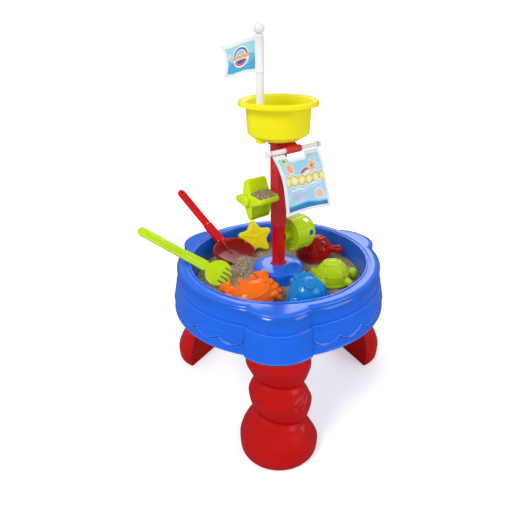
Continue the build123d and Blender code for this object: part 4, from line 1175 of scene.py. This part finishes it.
# ---------------------------------------------------------------- toys
def crab(xyz):
    x, y, z = xyz
    shell = common(ellipsoid(xyz, (1, -3, 6), (38, 29, 30)), z - 37.0, 9.0)
    oval = np.sqrt(((x - 1) / 30.5) ** 2 + ((y + 3) / 22.0) ** 2)
    shell = shell - 1.25 * bell((oval - 1) * 26, 1.5) * (z > 12)
    for side in (-1, 1):               # eyes
        shell = union(shell, ellipsoid(xyz, (1 + side * 11, 21, 27), (6.0, 6.0, 6.5)), 3.0)
    # legs: root, knee and tip (x, y each), knee radius
    limbs = []
    for side in (-1, 1):
        for root_x, root_y, knee_x, knee_y, tip_x, tip_y, radius in (
                (28, 4, 40, 9, 49, 4, 6.6), (29, -8, 41, -6, 49, -11, 6.2),
                (25, -19, 36, -20, 42, -24, 5.8)):
            thigh = capsule(xyz, (side * root_x, root_y, 12), (side * knee_x, knee_y, 15),
                            radius * 0.85, radius)
            shin = capsule(xyz, (side * knee_x, knee_y, 12), (side * tip_x, tip_y, 7),
                           radius, radius * 0.75)
            limbs.append(union(thigh, shin, 1.2))
    limbs = reduce(lambda a, b: union(a, b, 1.5), limbs)
    # claws: an arm, a palm and two fingers
    for side in (-1, 1):
        arm = capsule(xyz, (side * 22, 14, 14), (side * 34, 20, 16), 8.0, 7.5)
        palm = ellipsoid(xyz, (side * 33, 28, 15), (11.5, 10.0, 10.5))
        inner = capsule(xyz, (side * 36, 32, 17), (side * 24, 39, 18), 6.0, 2.6)
        outer = capsule(xyz, (side * 41, 30, 15), (side * 39, 40, 16), 5.6, 2.8)
        claw = union(union(arm, palm, 3.0), union(inner, outer, 1.5), 2.0)
        limbs = union(limbs, claw, 1.8)
    return union(union(shell, limbs, 1.4), oval_foot(xyz, 44, 33, 7.0, 2.0), 2.5)


def fish(xyz):
    scale = 1.1
    x, y, z = xyz = [v / scale for v in xyz]
    shape = ellipsoid(xyz, (0, -1, 4), (33, 30, 37))
    # eye: a raised ring with a dimple at its centre
    away = np.sqrt((x + 3.0) ** 2 + ((y + 15.0) * 1.1) ** 2)
    shape = shape + np.clip((z - 12) / 6, 0, 1) * (-2.7 * bell(away - 7.4, 1.9)
                                                   + 1.6 * bell(away, 3.6))
    # side fin arcs
    away = np.sqrt((x + 24) ** 2 + (y + 4) ** 2)
    shape = shape - 1.2 * bell(away - 11.0, 1.6) * (x < -14)
    away = np.sqrt((x - 27) ** 2 + (y + 20) ** 2)
    shape = shape - 1.2 * bell(away - 9.0, 1.6) * (x > 17)
    # bubbly crown on the +y side: centre, radius
    for *centre, radius in ((-14, 24, 24, 6.5), (-5, 27, 28, 7.0), (5, 27.5, 29, 7.0),
                            (14, 25, 26, 6.5), (0, 21, 33, 6.0), (10, 20, 32, 5.5),
                            (-10, 19, 31, 5.5)):
        shape = union(shape, ellipsoid(xyz, centre, (radius, radius * 0.9, radius)), 1.6)
    # tail lobe and pectoral fin
    shape = union(shape, capsule(xyz, (-22, -12, 10), (-33, -17, 8), 8.5, 6.5), 3.0)
    shape = union(shape, ellipsoid(xyz, (29, 15, 8), (9, 8, 9)), 3.0)
    return scale * union(shape, oval_foot(xyz, 34, 31, 4.5, 1.5), 1.5)


def turtle(xyz):
    scale, stretch = 1.03, 1.2         # in plan, and upwards
    x, y, z = xyz = (xyz[0] / scale, xyz[1] / scale, xyz[2] / stretch)
    shape = ellipsoid(xyz, (0, 0, 2), (33, 28, 34))
    # plates: a six-sided centre plate and ribs down from its corners
    radius = np.sqrt((x / 33) ** 2 + (y / 28) ** 2)
    angle = np.arctan2(y / 28, x / 33)
    pitch = np.pi / 3
    off_side = np.abs((angle + pitch / 2) % pitch - pitch / 2)
    ridge = bell((radius * np.cos(off_side) - 0.46) * 30, 1.3)
    off_corner = pitch / 2 - np.abs(angle % pitch - pitch / 2)
    spoke = bell(off_corner * radius * 30, 1.25) * (radius > 0.50) * (radius < 0.93)
    shape = shape - 1.25 * np.maximum(ridge * (radius > 0.3), spoke)
    shape = shape - 1.1 * bell((radius - 0.93) * 30, 1.6) * (z < 18)
    # flippers: root and tip (x, y each), tip radius
    for root_x, root_y, tip_x, tip_y, tip_radius in (
            (18, 16, 28, 27, 6.0), (-18, 16, -27, 26, 6.5), (18, -15, 27, -25, 6.0),
            (-18, -15, -27, -24, 6.0)):
        flipper = capsule(xyz, (root_x, root_y, 7), (tip_x, tip_y, 6), 8, tip_radius)
        for groove in (-0.3, 0.3):
            flipper = flipper + 0.5 * bell(
                (x - tip_x) * 0.6 + (y - tip_y) * -0.6 * np.sign(root_x * root_y) + groove * 10,
                1.0)
        shape = union(shape, flipper, 1.6)
    # head, eyes and a little tail
    shape = union(shape, ellipsoid(xyz, (38, 4, 9), (10.5, 8.6, 9.0)), 2.0)
    for side in (-1, 1):
        shape = union(shape, ellipsoid(xyz, (42, 4 + side * 5.0, 14.5), (2.4, 2.4, 2.4)), 0.8)
    shape = union(shape, capsule(xyz, (-30, 0, 5), (-36, 0, 4), 4.0, 2.2), 2.0)
    return union(shape, oval_foot(xyz, 34, 29.5, 4.0, 1.5), 1.2) * scale


def seal(xyz):
    x, y, z = xyz
    radius = np.sqrt((x / 37) ** 2 + (y / 34) ** 2)
    angle = np.arctan2(y, x)
    shape = ellipsoid(xyz, (0, 0, -2), (37, 34, 33))
    shape = shape - 1.7 * np.abs(np.cos(3.5 * angle + 0.6)) * np.clip(
        (radius - 0.30) * 2.2, 0, 1) + 1.0
    # soft bumps towards +x: centre, radius
    for *centre, size in ((17, -12, 22, 6.5), (6, -20, 20, 6.0), (22, 2, 20, 6.0)):
        shape = union(shape, ellipsoid(xyz, centre, (size, size, size * 0.9)), 3.0)
    # ringed neck and a round knob
    neck = capsule(xyz, (28, -10, 5), (45, -18.0, 4), 7.6, 6.0)
    travel = (x - 28) * 0.965 - (y + 7) * 0.26
    neck = neck - 0.8 * np.abs(np.sin(travel * 0.42)) * (travel > 2) * (travel < 16)
    shape = union(shape, neck, 2.2)
    shape = union(shape, ellipsoid(xyz, (45.0, -18, 4.0), (9.4, 9.2, 9.4)), 1.6)
    return union(shape, oval_foot(xyz, 36.5, 33.5, 3.5, 1.5), 1.2)


def star(xyz):
    """Five arms folded into one: along its middle and away from it."""
    x, y, z = xyz
    radius = np.sqrt(x * x + y * y)
    angle = np.arctan2(y, x) - math.radians(98)
    pitch = 2 * math.pi / 5
    angle = np.abs((angle + pitch / 2) % pitch - pitch / 2)
    along, aside = radius * np.cos(angle), radius * np.sin(angle)
    half = 7.4 + 19.0 * np.clip(1 - along / 29.5, 0, 1) ** 1.12
    tip = np.sqrt((along - 28.4) ** 2 + aside ** 2) - 7.6
    plane = np.where(along > 28.4, tip, (aside - half) * 0.9)
    shape = slab(plane + 0.6 * np.clip(z / 16, 0, 1) * 1.5, z, -12, 15.0, 3.6)
    shape = shape - 0.9 * bell(aside, 2.0) * np.clip(1 - along / 30, 0, 1) * (z > 8)
    shape = shape + 0.5 * bell(radius - 8.5, 1.2) * (z > 8)
    for stud in (14.0, 19.5, 24.5):
        shape = union(shape, ellipsoid((along, aside, z), (stud, 0, 15.0), (1.7, 1.7, 1.6)), 0.8)
    return shape


TOY_WALL = 2.0
# name, field, box low, box high, cell, body, material, slot, axes
TOYS = (
    ("crab_toy", crab, (-58, -38, -2), (58, 44, 42), 1.0, "crab", ORANGE, "crab_orange",
     leaning((-46, -97, 246.0), 26, -96, 15)),
    ("fish_toy", fish, (-46, -40, -2), (44, 40, 47), 1.0, "fish", AQUA, "fish_blue",
     leaning((49, -92.5, 241.4), 20)),
    ("turtle_toy", turtle, (-44, -37, -2), (52, 39, 46), 1.0, "turtle", LIME_TOY, "turtle_lime",
     leaning((98, -25, 241.4), 8)),
    ("red_toy", seal, (-41, -38, -2), (59, 38, 34), 1.0, "seal", RED_TOY, "seal_red",
     leaning((71, 71, 259.0), 15, -104, 24)),
    ("star_toy", star, (-38, -38, -2), (38, 38, 19), 0.9, "star", YELLOW_TOY, "star_yellow",
     leaning((-50, 120, 263.8), 10, -70, 62)),
)


def toy(name, field, low, high, cell, body, material, slot, axes):
    """A thin-walled mould, open underneath."""
    def mould(xyz):
        full = field(xyz)
        return np.maximum(carve(full, xyz[2], 1.2), -(full + TOY_WALL))

    add_mesh(name, *surface_net(mould, low, high, cell), body, material, slot, body + "_mould",
             axes)


for toy_row in TOYS:
    toy(*toy_row)


# ---------------------------------------------------------------- shovel and rake
def tool_axes(along, roll=0.0):
    """Along, side and up axes, rolled about the first."""
    side = unit(np.cross(UP, along))
    up = np.cross(along, side)
    return (along, math.cos(roll) * side - math.sin(roll) * up,
            math.sin(roll) * side + math.cos(roll) * up)


def local(xyz, origin, axes):
    return [sum((v - o) * a for v, o, a in zip(xyz, origin, axis)) for axis in axes]


BLADE_PITCH, BLADE_HEADING = math.radians(19), math.radians(138)
BLADE_AXES = tool_axes(np.array((math.cos(BLADE_HEADING) * math.cos(BLADE_PITCH),
                                 math.sin(BLADE_HEADING) * math.cos(BLADE_PITCH),
                                 math.sin(BLADE_PITCH))))
SHOVEL_SOCKET = np.array((-113.0, 84.8, 267.5))
BLADE_CENTRE = SHOVEL_SOCKET - 34.0 * BLADE_AXES[0]
SHOVEL_HANDLE = tool_axes(unit((-36.1, 21.2, 38.0)))
RAKE_ROLL = math.radians(36)
RAKE_SOCKET = np.array((-127.6, -31.0, 271.6))
RAKE_HANDLE = tool_axes(unit((-48.9, 17.7, 20.4)), RAKE_ROLL)
PALM_AXES = tool_axes(unit((-0.94, 0.34, 0.36)), RAKE_ROLL)
PALM_CENTRE = RAKE_SOCKET - 22.0 * PALM_AXES[0]
HANDLE_HALF = 8.5


def handle(xyz, origin, axes, length, collar, hole=None):
    """Flat handle with sunk panels, a stouter ribbed collar and perhaps a hanging hole."""
    along, side, up = local(xyz, origin, axes)

    def stadium(start, end, radius):
        return np.sqrt((along - np.clip(along, start, end)) ** 2 + side ** 2) - radius

    shape = slab(stadium(4.0, length - HANDLE_HALF, HANDLE_HALF), up, -4.0, 4.0, 2.2)
    panel = stadium(collar + 10.0, length - 24.0, 4.6)
    shape = carve(shape, slab(panel, np.abs(up) - 4.0, -0.9, 6.0, 0.8), 0.6)
    plane = np.maximum(np.abs(along - (collar / 2 + 4)) - collar / 2,
                       np.abs(side) - (HANDLE_HALF + 1.8 - 0.03 * (along - 4)))
    block = slab(plane, up, -5.0, 5.0, 1.8)
    block = block - 0.5 * bell(side, 1.1) * (up > 3) * (along > 8) * (along < collar - 2)
    shape = union(shape, block, 0.8)
    if hole:
        away = np.sqrt((along - (length - HANDLE_HALF)) ** 2 + side ** 2)
        shape = carve(shape, -(hole - away), 0.8)
        shape = shape - 0.5 * bell(away - (hole + 1.6), 0.9)
    return shape


def shovel(xyz):
    along, side, up = spot = local(xyz, BLADE_CENTRE, BLADE_AXES)
    radius = np.sqrt((along / 37.4) ** 2 + (side / 43.8) ** 2)
    # dished blade: a flat floor, a rising wall and a rolled rim
    surface = -4.4 + 9.0 * np.clip(radius, 0, 1.1) ** 3.4
    slope = 9.0 * 3.4 * np.clip(radius, 0, 1.1) ** 2.4 / 40.0
    rim = (radius - 1) * 39.0
    blade = common(np.abs(up - surface) / np.sqrt(1 + slope ** 2) - 1.15, rim, 1.0)
    blade = union(blade, np.sqrt(rim ** 2 + (up - 4.4) ** 2) - 1.5, 0.8)
    # stiffening rib from the socket into the dish
    rib = capsule(spot, (36, 0, 4.0), (6, 0, -3.6), 4.2, 1.4)
    blade = union(blade, carve(rib, up - surface, 0.5), 2.0)
    # the handle ends at the rim of the blade
    grip = handle(xyz, SHOVEL_SOCKET, SHOVEL_HANDLE, length=140.0, collar=46.0, hole=2.6)
    grip = carve(grip, np.maximum((radius - 0.955) * 39.0, -(up + 4.0)), 0.8)
    return union(blade, grip, 2.2)


def rake(xyz):
    along, side, up = local(xyz, PALM_CENTRE, PALM_AXES)
    radius = np.sqrt((along / 24.5) ** 2 + (side / 25.0) ** 2)
    # domed palm that curls down to the tines at the far side
    curl = np.clip((-along - 8) / 17.0, 0, 1.1)
    surface = 2.2 - 1.2 * radius ** 2 - 9.5 * curl ** 2.2
    slope = 9.5 * 2.2 * curl ** 1.2 / 17.0
    palm = common(np.abs(up - surface) / np.sqrt(1 + slope ** 2) - 1.9, (radius - 1) * 24.0, 1.6)
    for slot in (-13.5, -4.5, 4.5, 13.5):
        palm = carve(palm, np.maximum(np.abs(side - slot) - 1.5, along + 6.5), 0.9)
    return union(palm, handle(xyz, RAKE_SOCKET, RAKE_HANDLE, length=150.6, collar=48.0), 2.0)


add_mesh("shovel_tool", *surface_net(shovel, (-210, 22, 238), (-42, 148, 372), 1.08),
         "shovel_tool", RED_SHOVEL, "shovel_red", "shovel")
add_mesh("rake_tool", *surface_net(rake, (-265, -67, 238), (-74, 34, 342), 1.0),
         "rake_tool", LIME_RAKE, "rake_lime", "rake")

# ---------------------------------------------------------------- sand bed
SAND_INNER, SAND_OUTER = 48.0, 154.4
# x, y, height, width; negative heights are dips
HEAPS = ((-92, 66, 4.5, 30), (-20, 60, 4.0, 26), (-15, -40, 1.5, 22), (120, 60, 4.0, 28),
         (130, -60, -1.5, 20), (-120, -40, -2.0, 25), (-61, 41, 13.5, 15), (-80, 22, 8.0, 14),
         (-73, 33, 3.0, 8))


def ripples(x, y, seed, octaves=4, frequency=0.03):
    """Smooth repeatable noise from sums of sines."""
    random = np.random.RandomState(seed)
    out = np.zeros_like(x)
    amplitude = 1.0
    for _ in range(octaves):
        for _ in range(4):
            heading = random.uniform(0, 2 * math.pi)
            phase = random.uniform(0, 2 * math.pi)
            travel = x * math.cos(heading) + y * math.sin(heading)
            out += amplitude * np.sin(travel * frequency * 2 * math.pi + phase) / 4
        amplitude *= 0.55
        frequency *= 1.9
    return out


def sand_bed():
    ring = circle(340)
    radius = (SAND_INNER + (SAND_OUTER - SAND_INNER) * np.linspace(0, 1, 78))[:, None]
    x, y = radius * ring[:, 0], radius * ring[:, 1]
    z = (240.0 + 1.5 * ripples(x, y, seed=3)
         + 0.5 * ripples(x, y, seed=9, octaves=3, frequency=0.12))
    for heap_x, heap_y, height, width in HEAPS:
        z = z + height * np.exp(-((x - heap_x) ** 2 + (y - heap_y) ** 2) / (2 * width * width))
    z = z - 1.2 * bell(radius - SAND_OUTER, 6.0) + 0.8 * bell(radius - SAND_INNER, 5.0)
    rings = list(np.stack([x, y, z], axis=2))
    rings += [level(edge * ring, 213.0) for edge in (151.0, 50.4)]
    vertices, faces = loft(rings, close=True)
    add_solid("sand_bed", vertices, faces, "table", SAND, "sand", "sand_fill")


sand_bed()

# ---------------------------------------------------------------- CAD nodes kept as they are
for node_slot, node_material, node_names in (
        ("post_red", RED, ("lower_post", "upper_post", "post_head")),
        ("pin_red", RED, ("bucket_axle_pin", "drum_axle_pin")),
        ("white_plastic", WHITE, ("flag_pole", "sail_rod"))):
    for node_name in node_names:
        kept = NODES[node_name]
        polygons = kept.data.polygons
        kept.data.materials.clear()
        kept.data.materials.append(node_material)
        polygons.foreach_set("material_index", [0] * len(polygons))
        polygons.foreach_set("use_smooth", [True] * len(polygons))
        kept.data.set_sharp_from_angle(angle=math.radians(28))


# ---------------------------------------------------------------- floor, lights, camera (m)
def floor():
    """White floor, glowing a little for the camera and dim in reflections."""
    half = 9.0
    mesh = bpy.data.meshes.new("floor")
    mesh.from_pydata([(-half, -half, 0), (half, -half, 0), (half, half, 0), (-half, half, 0)],
                     [], [(0, 1, 2, 3)])
    ground = add_object("floor", mesh)
    material, shader = new_material("floor_paper")
    place = coordinates("Object")
    mottle = noise(place, scale=3.0, detail=3.0)
    tint = mix(mottle, (0.90, 0.90, 0.905, 1), (0.93, 0.93, 0.93, 1))
    rays = node("LightPath").outputs
    tint = mix(rays["Is Glossy Ray"], tint, (0.16, 0.16, 0.165, 1))
    x, y, _ = separate(place)
    far = (x * x + y * y).sqrt().ramp(gain=0.8, offset=-0.45)
    glow = Value(rays["Is Camera Ray"]) * (far * 0.20 + 0.38)
    feed(shader, {"Base Color": tint, "Roughness": 0.6, "Specular IOR Level": 0.2,
                  "Emission Color": (1, 1, 1, 1), "Emission Strength": glow})
    mesh.materials.append(material)


def area_light(name, location, size, power, specular=1.0):
    """Square light aimed at the middle of the table."""
    light = bpy.data.lights.new(name, "AREA")
    light.energy = power
    light.shape = "RECTANGLE"
    light.size = size
    light.size_y = size
    light.specular_factor = specular
    lamp = add_object(name, light)
    lamp.location = location
    aim = Vector((0, 0, 0.3)) - Vector(location)
    lamp.rotation_euler = aim.to_track_quat("-Z", "Y").to_euler()


def studio_world():
    """White surroundings with their own strength for camera, glossy and other rays."""
    camera_strength, glossy_strength, strength = 1.0, 0.34, 0.62
    world = bpy.data.worlds.new("studio")
    bpy.context.scene.world = world
    world.use_nodes = True
    Value.tree = world.node_tree
    rays = node("LightPath").outputs
    glow = (Value(rays["Is Camera Ray"]) * (camera_strength - strength)
            + Value(rays["Is Glossy Ray"]) * (glossy_strength - strength) + strength)
    feed(world.node_tree.nodes["Background"], {0: (1.0, 1.0, 1.0, 1), 1: glow})


def camera():
    lens = bpy.data.cameras.new("camera")
    lens.sensor_fit = "HORIZONTAL"
    lens.sensor_width = 36.0
    lens.lens = 34.8161538
    lens.shift_x = -0.035576923
    lens.shift_y = -0.033653846
    lens.clip_start = 0.01
    viewer = add_object("camera", lens)
    viewer.location = (AXIS_X / 1000, (-840.2 + AXIS_Y) / 1000, 0.6925)
    viewer.rotation_euler = (math.radians(90 - 24.6), 0, 0)      # looking 24.6 degrees down
    bpy.context.scene.camera = viewer


floor()
area_light("key", (-1.1, -1.5, 2.2), size=0.8, power=29)
area_light("fill_right", (1.9, -0.9, 1.3), size=1.2, power=10)
area_light("back", (0.3, 2.2, 1.8), size=1.4, power=14, specular=0.35)
studio_world()
camera()
view = bpy.context.scene.view_settings
view.view_transform = "Standard"
view.look = "None"
view.exposure = 0.0
view.gamma = 1.0
